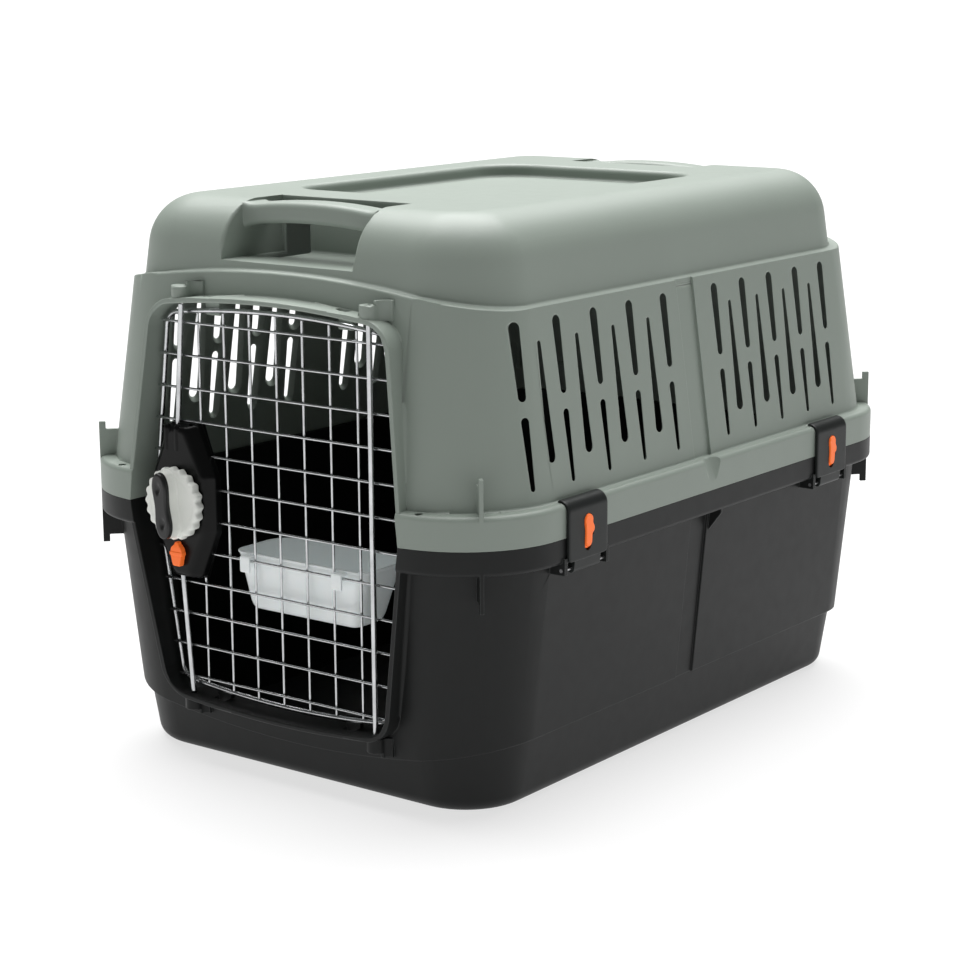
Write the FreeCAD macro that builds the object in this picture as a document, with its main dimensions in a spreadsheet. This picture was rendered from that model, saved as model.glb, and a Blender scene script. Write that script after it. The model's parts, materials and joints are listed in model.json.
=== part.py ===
import FreeCAD, Part
import math
import os
import Sketcher

# Pet carrier: two plastic shells joined at a rim, a wire door with a knob latch, side clips and a bowl.
# Frame: +Z up, front towards -Y, origin at the middle of the base. Millimetres and degrees.

SIZES = {
    # overall form
    "shell_length": 698,
    "rim_half_width": 248,
    "rim_front_radius": 95,
    "rim_rear_radius": 85,
    "wall_front_radius": 103,
    "wall_rear_radius": 93,
    "dome_front_radius": 113,
    "dome_rear_radius": 104,
    "rim_overhang": 11,
    "rim_rise": 29,
    "rim_drop": 22,
    "rim_edge": 5,
    "wall": 3,
    # lower shell
    "lower_height": 241,
    "lower_draft": 5.6,
    "ridge_height": 62,
    "ridge_dip": 26,
    "ridge_step": 6,
    "skirt_draft": 9,
    "base_fillet": 14,
    "floor_thickness": 4,
    # upper shell
    "upper_wall_height": 190,
    "upper_draft": 7.9,
    "ledge_arch": 21,
    "ledge_step": 6,
    "dome_height": 77,
    "dome_draft": 8,
    "dome_fillet": 48,
    "tray_half_width": 120,
    "tray_front_gap": 181,
    "tray_rear_gap": 185,
    "tray_radius": 42,
    "tray_depth": 13,
    "handle_half_width": 75,
    "handle_setback": 24,
    "handle_bar_depth": 30,
    "handle_bar_height": 21,
    "handle_bar_sink": 2,
    "handle_slot": 20,
    "handle_drop": 50,
    "handle_window": 29,
    # side channel and vents
    "channel_width": 28,
    "channel_depth": 2.5,
    "channel_offset": 12,
    "vent_front_start": 82,
    "vent_front_pitch": 54.3,
    "vent_rear_start": 119,
    "vent_rear_pitch": 48.7,
    "vent_wide": 5.2,
    "vent_middle": 3.9,
    "vent_narrow": 2.3,
    "vent_top_gap": 9,
    "vent_bottom_gap": 13,
    "vent_bridge": 13,
    "vent_long_top_gap": 27,
    "vent_long_bottom_gap": 33,
    # door collar
    "door_setback": 27,
    "opening_half_width": 154.5,
    "opening_rise": 185,
    "opening_drop": 181,
    "opening_rise_flare": 7,
    "opening_drop_flare": 9.3,
    "opening_corner": 26,
    "crown_radius": 1000,
    "collar_wall": 4.5,
    "collar_depth": 42,
    "collar_slope": 4,
    "boss_radius": 8,
    "boss_length": 13,
    "rib_reach": 5,
    "web_thickness": 2.8,
    "web_rise": 4,
    "stop_width": 16,
    "stop_height": 13,
    "stop_spread": 76,
    "stop_slot_depth": 7,
    # tie points on the rims
    "tie_radius": 16,
    "tie_tilt": 20,
    "tie_depth": 7,
    "tie_hole_radius": 3.4,
    "tie_hole_depth": 9,
    "tie_hole_spread": 171,
    "tie_hole_inset": 8,
    "tie_fin_thickness": 2.6,
    "tie_fin_drop": 20,
    # corner hooks
    "hook_thickness": 3.5,
    "hook_length": 24,
    "hook_rise": 24,
    "hook_prong": 6,
    "hook_prong_rise": 7,
    # wire door
    "door_gap": 5.5,
    "door_end_gap": 8.4,
    "frame_corner": 15,
    "frame_radius": 2.25,
    "wire_radius": 1.35,
    "wire_pitch": 30.27,
    "wire_columns": 7,
    "row_pitch": 29.38,
    "row_count": 12,
    "row_top_gap": 15,
    "wire_overhang": 2.4,
    "weld_gap": 0.15,
    "rod_radius": 2.5,
    "rod_clearance": 0.3,
    "running_fit": 0.08,
    "hinge_offset": 110,
    # latch
    "latch_offset": 106,
    "latch_height": 243,
    "rod_tilt": 4.5,
    "rod_clear_of_collar": 1.2,
    "housing_half_height": 70,
    "housing_half_width": 37,
    "housing_end_half_width": 17,
    "housing_flank": 26,
    "housing_depth": 15,
    "housing_wall": 2.5,
    "housing_back": 4,
    "housing_back_trim": 4,
    "screw_radius": 1.4,
    "screw_head": 2.8,
    "screw_length": 10,
    "screw_spread": 56,
    "screw_offset": 16,
    "screw_post": 4,
    "pinion_pitch_radius": 8,
    "pinion_teeth": 10,
    "tooth_height": 1.0,
    "tooth_depth": 1.6,
    "tooth_width": 1.9,
    "rack_thickness": 4,
    "rack_width": 4.5,
    "rack_gaps": 6,
    "rack_end": 22,
    "crossbar_width": 6,
    "crossbar_drop": 30,
    "spindle_radius": 6,
    "pivot_radius": 3,
    "disc_radius": 33,
    "disc_depth": 9,
    "disc_gap": 0.8,
    "scallop_count": 20,
    "scallop_radius": 4.6,
    "scallop_depth": 2.6,
    "grip_length": 60,
    "grip_width": 21,
    "boss_height": 8.5,
    "grip_height": 5.5,
    "catch_width": 15,
    "catch_height": 24,
    "catch_depth": 6,
    "catch_gap": 0.6,
    "catch_tip": 4,
    "catch_tongue": 4,
    "catch_stem_width": 6,
    "catch_stem_height": 9,
    "catch_flange": 2,
    "catch_flange_depth": 1.5,
    "catch_travel": 2.2,
    "slide_gap": 0.3,
    # side clips
    "clip_front_gap": 135,
    "clip_rear_gap": 148,
    "clip_width": 57,
    "clip_thickness": 4.2,
    "clip_gap": 0.4,
    "clip_reach": 12,
    "clip_pin_radius": 1.6,
    "clip_knuckle_radius": 4,
    "clip_pin_drop": 5.5,
    "clip_pin_inset": 2,
    "clip_ear": 4,
    "key_width": 9.4,
    "key_height": 28,
    "key_travel": 2.5,
    "key_gap": 0.3,
    "key_flange": 2,
    "key_flange_depth": 1.2,
    "key_proud": 1.5,
    # bowl
    "bowl_width": 150,
    "bowl_depth": 66,
    "bowl_height": 53,
    "bowl_radius": 24,
    "bowl_taper": 12,
    "bowl_wall": 1.8,
    "bowl_row": 7,
    "bowl_shift": 17,
    "bowl_gap": 1,
    "bowl_hook_spread": 52.9,
    "bowl_hook_centre": 15.2,
    "bowl_hook_width": 11,
    "bowl_hook_drop": 12,
    "bowl_hook_thickness": 2.2,
    "bowl_hook_gap": 0.3,
}

TILT_45 = math.sqrt(0.5)


class Size:
    """A size with its value and the expression that ties it to the sheet."""

    def __init__(self, value, text):
        self.value = value
        self.text = text

    def combine(self, other, sign, swap=False):
        other = other if isinstance(other, Size) else Size(other, repr(other))
        left, right = (other, self) if swap else (self, other)
        values = {
            "+": lambda a, b: a + b,
            "-": lambda a, b: a - b,
            "*": lambda a, b: a * b,
            "/": lambda a, b: a / b,
        }
        return Size(values[sign](left.value, right.value), f"({left.text} {sign} {right.text})")

    def __add__(self, other):
        return self.combine(other, "+")

    def __radd__(self, other):
        return self.combine(other, "+", swap=True)

    def __sub__(self, other):
        return self.combine(other, "-")

    def __rsub__(self, other):
        return self.combine(other, "-", swap=True)

    def __mul__(self, other):
        return self.combine(other, "*")

    def __rmul__(self, other):
        return self.combine(other, "*", swap=True)

    def __truediv__(self, other):
        return self.combine(other, "/")

    def __neg__(self):
        return self.combine(0, "-", swap=True)


def tangent(angle):
    return Size(math.tan(math.radians(angle.value)), f"tan({angle.text})")


def sine(angle):
    return Size(math.sin(math.radians(angle.value)), f"sin({angle.text})")


def cosine(angle):
    return Size(math.cos(math.radians(angle.value)), f"cos({angle.text})")


def root(size):
    return Size(math.sqrt(size.value), f"sqrt({size.text})")


doc = FreeCAD.newDocument("pet_carrier")
sheet = doc.addObject("Spreadsheet::Sheet", "Sizes")
for row, (alias, number) in enumerate(SIZES.items(), start=1):
    sheet.set(f"A{row}", alias)
    sheet.set(f"B{row}", str(number))
    sheet.setAlias(f"B{row}", alias)
doc.recompute()
S = {alias: Size(float(number), f"Sizes.{alias}") for alias, number in SIZES.items()}
ZERO = Size(0.0, "0")


def bind(target, name, size):
    """Tie one property of a document object to a size."""
    target.setExpression(name, size.text)


X_AXIS = FreeCAD.Vector(1, 0, 0)
Y_AXIS = FreeCAD.Vector(0, 1, 0)
Z_AXIS = FreeCAD.Vector(0, 0, 1)


def number(value):
    """A plain number as a size."""
    return Size(value, repr(value))


def place(target, x=ZERO, y=ZERO, z=ZERO, turn=None):
    """Put an object at sizes along X, Y and Z, after an optional turn about an axis."""
    axis, angle = turn or (Z_AXIS, None)
    rotation = FreeCAD.Rotation(axis, angle.value if angle else 0)
    target.Placement = FreeCAD.Placement(FreeCAD.Vector(x.value, y.value, z.value), rotation)
    bind(target, "Placement.Base.x", x)
    bind(target, "Placement.Base.y", y)
    bind(target, "Placement.Base.z", z)
    if angle:
        bind(target, "Placement.Rotation.Angle", angle)
    return target


def box(name, x, y, z, at, turn=None):
    made = doc.addObject("Part::Box", name)
    bind(made, "Length", x)
    bind(made, "Width", y)
    bind(made, "Height", z)
    return place(made, *at, turn=turn)


def cylinder(name, radius, height, at, turn=None):
    made = doc.addObject("Part::Cylinder", name)
    bind(made, "Radius", radius)
    bind(made, "Height", height)
    return place(made, *at, turn=turn)


def fuse(name, shapes):
    made = doc.addObject("Part::MultiFuse", name)
    made.Shapes = shapes
    return made


def cut(name, base, tool):
    made = doc.addObject("Part::Cut", name)
    made.Base = base
    made.Tool = tool
    return made


def group(name, shapes):
    made = doc.addObject("Part::Compound", name)
    made.Links = shapes
    return made


def new_body(name):
    return doc.addObject("PartDesign::Body", name)


def new_sketch(body, name, plane, offset=ZERO):
    """A sketch on one of the body's own planes, moved along that plane's normal."""
    sketch = body.newObject("Sketcher::SketchObject", name)
    support = next(f for f in body.Origin.OriginFeatures if f.Role == plane)
    sketch.AttachmentSupport = [(support, "")]
    sketch.MapMode = "FlatFace"
    bind(sketch, "AttachmentOffset.Base.z", offset)
    return sketch


def hold(sketch, kind, name, size, *ends):
    """Add one named dimension and tie it to a size."""
    index = sketch.addConstraint(Sketcher.Constraint(kind, *ends, size.value))
    sketch.renameConstraint(index, name)
    bind(sketch, f"Constraints.{name}", size)


def put(sketch, name, x, y, geometry, end):
    """Fix a point of the sketch at sizes from its origin."""
    if abs(x.value) < 1e-9:
        sketch.addConstraint(Sketcher.Constraint("PointOnObject", geometry, end, -2))
    else:
        hold(sketch, "DistanceX", f"{name}_x", x, -1, 1, geometry, end)
    if abs(y.value) < 1e-9:
        sketch.addConstraint(Sketcher.Constraint("PointOnObject", geometry, end, -1))
    else:
        hold(sketch, "DistanceY", f"{name}_y", y, -1, 1, geometry, end)


def polygon(sketch, points):
    """A closed outline of straight runs through points given as pairs of sizes."""
    vectors = [FreeCAD.Vector(x.value, y.value, 0) for x, y in points]
    count = len(points)
    first = sketch.GeometryCount
    for i in range(count):
        sketch.addGeometry(Part.LineSegment(vectors[i], vectors[(i + 1) % count]), False)
    for i in range(count):
        sketch.addConstraint(Sketcher.Constraint("Coincident", first + i, 2, first + (i + 1) % count, 1))
    for i, (x, y) in enumerate(points):
        put(sketch, f"corner_{first + i}", x, y, first + i, 1)


def circle(sketch, x, y, radius):
    sketch.addGeometry(
        Part.Circle(FreeCAD.Vector(x.value, y.value, 0), FreeCAD.Vector(0, 0, 1), radius.value), False
    )
    index = sketch.GeometryCount - 1
    put(sketch, f"centre_{index}", x, y, index, 3)
    hold(sketch, "Radius", f"radius_{index}", radius, index)


def arc(centre, radius, start, end):
    """An arc of a circle, anticlockwise, its ends given in degrees."""
    whole = Part.Circle(FreeCAD.Vector(*centre, 0), FreeCAD.Vector(0, 0, 1), radius)
    return Part.ArcOfCircle(whole, math.radians(start), math.radians(end))


def rounded_rectangle(sketch, right, front, rear, radius_front, radius_rear, left=None):
    """A rounded rectangle from -right to right and from front to rear."""
    left = left or -right
    x0, x1, y0, y1 = left.value, right.value, front.value, rear.value
    rf, rr = radius_front.value, radius_rear.value
    vector = FreeCAD.Vector
    pieces = [
        Part.LineSegment(vector(x0 + rf, y0, 0), vector(x1 - rf, y0, 0)),
        arc((x1 - rf, y0 + rf), rf, -90, 0),
        Part.LineSegment(vector(x1, y0 + rf, 0), vector(x1, y1 - rr, 0)),
        arc((x1 - rr, y1 - rr), rr, 0, 90),
        Part.LineSegment(vector(x1 - rr, y1, 0), vector(x0 + rr, y1, 0)),
        arc((x0 + rr, y1 - rr), rr, 90, 180),
        Part.LineSegment(vector(x0, y1 - rr, 0), vector(x0, y0 + rf, 0)),
        arc((x0 + rf, y0 + rf), rf, 180, 270),
    ]
    for piece in pieces:
        sketch.addGeometry(piece, False)
    for i in range(len(pieces)):
        sketch.addConstraint(Sketcher.Constraint("Tangent", i, 2, (i + 1) % len(pieces), 1))
    for i, kind in ((0, "Horizontal"), (2, "Vertical"), (4, "Horizontal"), (6, "Vertical")):
        sketch.addConstraint(Sketcher.Constraint(kind, i))
    hold(sketch, "DistanceX", "right", right, -1, 1, 2, 1)
    hold(sketch, "DistanceX", "left", left, -1, 1, 6, 1)
    hold(sketch, "DistanceY", "front", front, -1, 1, 0, 1)
    hold(sketch, "DistanceY", "rear", rear, -1, 1, 4, 1)
    for name, size, index in (
        ("radius_fr", radius_front, 1),
        ("radius_rr", radius_rear, 3),
        ("radius_rl", radius_rear, 5),
        ("radius_fl", radius_front, 7),
    ):
        hold(sketch, "Radius", name, size, index)


def taper_slot(sketch, x, low, high, low_radius, high_radius):
    """An upright slot with round ends of two sizes, from low to high."""
    r0, r1 = low_radius.value, high_radius.value
    z0, z1 = low.value + r0, high.value - r1
    lean = math.degrees(math.asin((r0 - r1) / (z1 - z0)))
    rise, run = math.sin(math.radians(lean)), math.cos(math.radians(lean))

    def touch(side, z, radius):
        return FreeCAD.Vector(x.value + side * radius * run, z + radius * rise, 0)

    pieces = [
        arc((x.value, z0), r0, 180 - lean, 360 + lean),
        Part.LineSegment(touch(1, z0, r0), touch(1, z1, r1)),
        arc((x.value, z1), r1, lean, 180 - lean),
        Part.LineSegment(touch(-1, z1, r1), touch(-1, z0, r0)),
    ]
    for piece in pieces:
        sketch.addGeometry(piece, False)
    for i in range(len(pieces)):
        sketch.addConstraint(Sketcher.Constraint("Tangent", i, 2, (i + 1) % len(pieces), 1))
    put(sketch, "low", x, low + low_radius, 0, 3)
    put(sketch, "high", x, high - high_radius, 2, 3)
    hold(sketch, "Radius", "low_radius", low_radius, 0)
    hold(sketch, "Radius", "high_radius", high_radius, 2)


def arched(sketch, seam, half_width, flare, crown, corner, crown_radius, up, closed=True):
    """Half of the door's outline: two leaning sides, round corners and a bowed end.

    seam and crown are heights, and up is 1 for the half above the seam and -1 for the half below.
    """
    lean = math.radians(flare.value)
    along = (-math.sin(lean), up * math.cos(lean))
    inward = (-math.cos(lean), -up * math.sin(lean))
    big = (0.0, crown.value - up * crown_radius.value)
    start = (half_width.value + inward[0] * corner.value, seam.value + inward[1] * corner.value)
    gap = (start[0] - big[0], start[1] - big[1])
    reach = crown_radius.value - corner.value
    half_b = along[0] * gap[0] + along[1] * gap[1]
    rest = gap[0] ** 2 + gap[1] ** 2 - reach**2
    travel = -half_b + math.sqrt(half_b**2 - rest)
    centre = (start[0] + along[0] * travel, start[1] + along[1] * travel)
    side_end = (centre[0] - inward[0] * corner.value, centre[1] - inward[1] * corner.value)
    outward = ((centre[0] - big[0]) / reach, (centre[1] - big[1]) / reach)
    crown_end = (big[0] + outward[0] * crown_radius.value, big[1] + outward[1] * crown_radius.value)
    vector = FreeCAD.Vector

    def angle(point, middle):
        return math.degrees(math.atan2(point[1] - middle[1], point[0] - middle[0]))

    def mirrored(point):
        return (-point[0], point[1])

    def corner_arc(middle, first, last):
        a, b = angle(first, middle), angle(last, middle)
        if up < 0:
            a, b = b, a
        return arc(middle, corner.value, a, b if b > a else b + 360)

    seam_end = (half_width.value, seam.value)
    a, b = angle(crown_end, big), angle(mirrored(crown_end), big)
    if up < 0:
        a, b = b, a
    pieces = [
        Part.LineSegment(vector(*seam_end, 0), vector(*side_end, 0)),
        corner_arc(centre, side_end, crown_end),
        arc(big, crown_radius.value, a, b if b > a else b + 360),
        corner_arc(mirrored(centre), mirrored(crown_end), mirrored(side_end)),
        Part.LineSegment(vector(*mirrored(side_end), 0), vector(*mirrored(seam_end), 0)),
    ]
    for piece in pieces:
        sketch.addGeometry(piece, False)
    first, last = (1, 2) if up > 0 else (2, 1)
    ends = [(0, 2, 1, first), (1, last, 2, first), (2, last, 3, first), (3, last, 4, 1)]
    for one, one_end, two, two_end in ends:
        sketch.addConstraint(Sketcher.Constraint("Tangent", one, one_end, two, two_end))
    put(sketch, "right", half_width, seam, 0, 1)
    put(sketch, "left", -half_width, seam, 4, 2)
    sketch.addConstraint(Sketcher.Constraint("Symmetric", 0, 2, 4, 1, -2))
    sketch.addConstraint(Sketcher.Constraint("PointOnObject", 2, 3, -2))
    hold(sketch, "DistanceY", "crown_centre", crown - up * crown_radius, -1, 1, 2, 3)
    hold(sketch, "Radius", "crown", crown_radius, 2)
    hold(sketch, "Radius", "corner", corner, 1)
    side_run = half_width - tangent(flare) * 100
    sketch.addGeometry(Part.Point(vector(side_run.value, seam.value + up * 100, 0)), True)
    guide = sketch.GeometryCount - 1
    put(sketch, "guide", side_run, seam + up * 100, guide, 1)
    sketch.addConstraint(Sketcher.Constraint("PointOnObject", guide, 1, 0))
    if closed:
        sketch.addGeometry(Part.LineSegment(vector(*mirrored(seam_end), 0), vector(*seam_end, 0)), False)
        index = sketch.GeometryCount - 1
        sketch.addConstraint(Sketcher.Constraint("Coincident", 4, 2, index, 1))
        sketch.addConstraint(Sketcher.Constraint("Coincident", index, 2, 0, 1))


def pad(body, name, sketch, length, both=False, back=False):
    made = body.newObject("PartDesign::Pad", name)
    made.Profile = sketch
    made.SideType = "Symmetric" if both else "One side"
    made.Reversed = back
    bind(made, "Length", length)
    return made


def pocket(body, name, sketch, length=None, back=False):
    """Cut a sketch out of a body: to a depth, or both ways through all of it."""
    made = body.newObject("PartDesign::Pocket", name)
    made.Profile = sketch
    made.Reversed = back
    if length is None:
        made.Type = "ThroughAll"
        made.SideType = "Symmetric"
    else:
        bind(made, "Length", length)
    return made


def loft(body, name, sketches):
    made = body.newObject("PartDesign::AdditiveLoft", name)
    made.Profile = sketches[0]
    made.Sections = sketches[1:]
    made.Ruled = True
    return made


def round_edges(body, name, feature, radius, wanted):
    """Round every edge of the body's last feature that the test accepts."""
    doc.recompute()
    names = [f"Edge{i}" for i, edge in enumerate(feature.Shape.Edges, start=1) if wanted(edge)]
    made = body.newObject("PartDesign::Fillet", name)
    made.Base = (feature, names)
    bind(made, "Radius", radius)
    return made


def level(height):
    """A test for edges that lie flat at one height."""
    return lambda edge: abs(edge.BoundBox.ZMin - height.value) < 1e-3 and edge.BoundBox.ZLength < 1e-3


def linear_pattern(body, name, feature, axis, pitch, count, back=False):
    made = body.newObject("PartDesign::LinearPattern", name)
    made.Originals = [feature]
    direction = next(f for f in body.Origin.OriginFeatures if f.Role == axis)
    made.Direction = (direction, [""])
    made.Reversed = back
    made.Mode = "Spacing"
    bind(made, "Offset", pitch)
    bind(made, "Occurrences", count)
    body.Tip = made
    return made


# Heights and depths that several pieces share
FRONT = -S["shell_length"] / 2
REAR = S["shell_length"] / 2
SEAM = S["lower_height"]
RIM_TOP = SEAM + S["rim_rise"]
RIM_BOTTOM = SEAM - S["rim_drop"]
LEDGE = SEAM + S["upper_wall_height"]
TOP = LEDGE + S["dome_height"]
DOOR = FRONT + S["door_setback"]
ROD_LINE = DOOR - S["wire_radius"] * 2 - S["rod_radius"] - S["rod_clearance"]


def lower_inset(height):
    return S["rim_overhang"] + (SEAM - height) * tangent(S["lower_draft"])


def skirt_inset(height):
    ridge = S["ridge_height"]
    return lower_inset(ridge) + S["ridge_step"] + (ridge - height) * tangent(S["skirt_draft"])


def upper_inset(height):
    return S["rim_overhang"] + (height - RIM_TOP) * tangent(S["upper_draft"])


def dome_inset(height):
    return upper_inset(LEDGE) + S["ledge_step"] + (height - LEDGE) * tangent(S["dome_draft"])


def shell_outline(body, name, height, inset, corners="wall"):
    """The rim's outline drawn in by an inset, at a height, with the corners of the rim, walls or dome."""
    sketch = new_sketch(body, name, "XY_Plane", height)
    rounded_rectangle(
        sketch,
        S["rim_half_width"] - inset,
        FRONT + inset,
        REAR - inset,
        S[f"{corners}_front_radius"] - inset,
        S[f"{corners}_rear_radius"] - inset,
    )
    return sketch


def crown_cut(body, name, half_width, edge_height, middle_height, far_height):
    """Trim a body along a bowed line across X, keeping the side away from far_height."""
    rise = middle_height - edge_height
    up = 1 if far_height.value > middle_height.value else -1
    radius = (half_width * half_width + rise * rise) / (2 * rise) * up
    centre = middle_height - up * radius
    reach = half_width * 1.25
    end = centre + up * root(radius * radius - reach * reach)
    sketch = new_sketch(body, name + "_outline", "XZ_Plane")
    lean = math.degrees(math.acos(reach.value / radius.value))
    ends = (lean, 180 - lean) if up > 0 else (180 + lean, 360 - lean)
    right, left = (1, 2) if up > 0 else (2, 1)
    sketch.addGeometry(arc((0, centre.value), radius.value, *ends), False)
    corners = [(reach, end), (reach, far_height), (-reach, far_height), (-reach, end)]
    points = [FreeCAD.Vector(x.value, z.value, 0) for x, z in corners]
    for first, second in zip(points, points[1:]):
        sketch.addGeometry(Part.LineSegment(first, second), False)
    sketch.addConstraint(Sketcher.Constraint("Coincident", 0, right, 1, 1))
    for i in (1, 2):
        sketch.addConstraint(Sketcher.Constraint("Coincident", i, 2, i + 1, 1))
    sketch.addConstraint(Sketcher.Constraint("Coincident", 3, 2, 0, left))
    put(sketch, "centre", ZERO, centre, 0, 3)
    hold(sketch, "Radius", "bow", radius, 0)
    sketch.addConstraint(Sketcher.Constraint("Vertical", 1))
    sketch.addConstraint(Sketcher.Constraint("Vertical", 3))
    put(sketch, "far_right", reach, far_height, 2, 1)
    put(sketch, "far_left", -reach, far_height, 2, 2)
    return pocket(body, name, sketch)


def channel_cut(body, name, low, high, low_inset, high_inset):
    """A shallow upright channel down the middle of both side walls."""
    outside = S["rim_half_width"] * 1.1
    centre = -S["channel_offset"]
    features = []
    for side, sign in (("right", 1), ("left", -1)):
        sketch = new_sketch(body, f"{name}_{side}_outline", "XZ_Plane", -(centre + S["channel_width"] / 2))
        inner_low = S["rim_half_width"] - low_inset - S["channel_depth"]
        inner_high = S["rim_half_width"] - high_inset - S["channel_depth"]
        polygon(
            sketch,
            [
                (inner_low * sign, low),
                (outside * sign, low),
                (outside * sign, high),
                (inner_high * sign, high),
            ],
        )
        features.append(pocket(body, f"{name}_{side}", sketch, S["channel_width"], back=True))
    return features


def arch_sketch(body, name, up, grow, offset):
    """The door opening's half outline above or below the seam, grown all round."""
    sketch = new_sketch(body, name, "XZ_Plane", offset)
    rise = SEAM + S["opening_rise"] + grow if up > 0 else SEAM - S["opening_drop"] - grow
    flare = S["opening_rise_flare"] if up > 0 else S["opening_drop_flare"]
    arched(
        sketch,
        SEAM,
        S["opening_half_width"] + grow / cosine(flare),
        flare,
        rise,
        S["opening_corner"] + grow,
        S["crown_radius"] + grow,
        up,
    )
    return sketch


def collar(name, up):
    """Half of the collar round the door, its front edge sloping back from the seam."""
    body = new_body(name)
    outer = arch_sketch(body, name + "_outer", up, S["collar_wall"], -FRONT)
    pad(body, name + "_pad", outer, S["collar_depth"], back=True)
    sketch = new_sketch(body, name + "_slope", "YZ_Plane")
    reach = S["opening_rise"] * 1.2
    run = reach * tangent(S["collar_slope"])
    far = SEAM + up * reach
    polygon(sketch, [(FRONT, SEAM), (FRONT + run, far), (FRONT - run, far)])
    pocket(body, name + "_trim", sketch)
    return body


def opening(name, up):
    """The space inside the collar, with room in front of it and behind it."""
    body = new_body(name)
    spare = S["collar_depth"] / 2
    sketch = arch_sketch(body, name + "_outline", up, ZERO, -(FRONT - spare))
    pad(body, name + "_pad", sketch, S["collar_depth"] + spare * 2, back=True)
    return body


def crown_height(x, up, grow=ZERO):
    """Height of the opening's bowed end at a distance from the middle."""
    radius = S["crown_radius"] + grow
    drop = radius - root(radius * radius - x * x)
    if up > 0:
        return SEAM + S["opening_rise"] + grow - drop
    return SEAM - S["opening_drop"] - grow + drop


def tilted(up):
    """The turn that lays a cylinder along a latch rod: 1 for the upper rod, -1 for the lower."""
    return (Y_AXIS, S["rod_tilt"] if up > 0 else 180 - S["rod_tilt"])


RACK_DISTANCE = S["pinion_pitch_radius"] + S["tooth_depth"] + S["rack_width"] / 2


def rod_x(height):
    """Where the upper or lower latch rod's line stands at a height, across the door."""
    away = height - S["latch_height"]
    away = away if away.value > 0 else -away
    return -S["latch_offset"] - RACK_DISTANCE / cosine(S["rod_tilt"]) + away * tangent(S["rod_tilt"])


def rod_tip(up):
    """Height of a latch rod's free end at rest, just inside the collar."""
    across = S["latch_offset"]
    return crown_height(across, up) - up * S["rod_clear_of_collar"]


def bosses(name, up):
    """Two round bosses on the collar that take the hinge rod and a latch rod."""
    made = []
    for side, x in (("hinge", S["hinge_offset"]), ("latch", rod_x(rod_tip(up)))):
        start = crown_height(x, up) + up * S["collar_wall"] / 2
        turn = None if up > 0 else (X_AXIS, number(180))
        at = (x, ROD_LINE, start)
        made.append(cylinder(f"{name}_{side}", S["boss_radius"], S["boss_length"], at, turn))
    return made


def boss_webs(name, up, wall_inset):
    """A slanting rib on one side of each boss, and a curved web from its other side back to the wall."""
    made = []
    thickness = S["web_thickness"]
    for side, x in (("hinge", S["hinge_offset"]), ("latch", rod_x(rod_tip(up)))):
        inner = crown_height(x, up)
        seat = inner + up * S["collar_wall"] / 2
        end = seat + up * S["boss_length"]
        rib = new_body(f"{name}_rib_{side}")
        sketch = new_sketch(rib, f"{name}_rib_{side}_outline", "XZ_Plane", -(ROD_LINE - thickness / 2))
        foot = x - S["boss_radius"] - S["rib_reach"]
        shoulder = (foot + S["rib_reach"], end - up * thickness)
        polygon(sketch, [(x, inner), (x, end), shoulder, (foot, inner)])
        pad(rib, f"{name}_rib_{side}_pad", sketch, thickness, back=True)
        reach = FRONT + wall_inset(seat) + S["wall"] / 2 - ROD_LINE
        height = S["boss_length"] + S["web_rise"]
        base = seat if up > 0 else seat - height
        at = (x + S["boss_radius"] + reach - thickness, ROD_LINE, base)
        outer = cylinder(f"{name}_web_outer_{side}", reach, height, at, (Z_AXIS, number(90)))
        outer.Angle = 90
        hollow = cylinder(f"{name}_web_inner_{side}", reach - thickness, height, at)
        made += [rib, cut(f"{name}_web_{side}", outer, hollow)]
    return made


def boss_holes(name, up):
    """The hinge rod's hole and the latch rod's slanting hole."""
    depth = S["boss_length"] + S["collar_wall"] - S["wall"] / 2
    start = crown_height(S["hinge_offset"], up) - up * S["collar_wall"]
    turn = None if up > 0 else (X_AXIS, number(180))
    hinge = cylinder(
        f"{name}_hinge",
        S["rod_radius"] + S["running_fit"],
        depth + S["collar_wall"],
        (S["hinge_offset"], ROD_LINE, start),
        turn,
    )
    tip = rod_tip(up)
    latch = cylinder(
        f"{name}_latch",
        S["rod_radius"] + S["rod_clearance"],
        depth,
        (rod_x(tip), ROD_LINE, tip),
        tilted(up),
    )
    return [hinge, latch]


def stops(name, up):
    """Two small tabs behind the door's frame wire."""
    made = []
    for side, sign in (("left", -1), ("right", 1)):
        x = S["stop_spread"] * sign
        edge = crown_height(S["stop_spread"], up)
        base = edge - S["stop_height"] if up > 0 else edge - S["collar_wall"] / 2
        made.append(
            box(
                f"{name}_{side}",
                S["stop_width"],
                S["collar_wall"],
                S["stop_height"] + S["collar_wall"] / 2,
                (x - S["stop_width"] / 2, FRAME_LINE + S["frame_radius"] + S["rod_clearance"], base),
            )
        )
    return made


def stop_slots(name, up):
    """Slots through the collar in front of the tabs."""
    made = []
    width = S["stop_width"] * 0.8
    back = FRAME_LINE + S["frame_radius"] + S["rod_clearance"]
    for side, sign in (("left", -1), ("right", 1)):
        edge = crown_height(S["stop_spread"], up)
        low = edge - S["collar_wall"] if up > 0 else edge - S["collar_wall"] * 2
        at = (S["stop_spread"] * sign - width / 2, back - S["stop_slot_depth"], low)
        made.append(box(f"{name}_{side}", width, S["stop_slot_depth"], S["collar_wall"] * 3, at))
    return made


FRAME_LINE = DOOR + S["frame_radius"]


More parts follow.
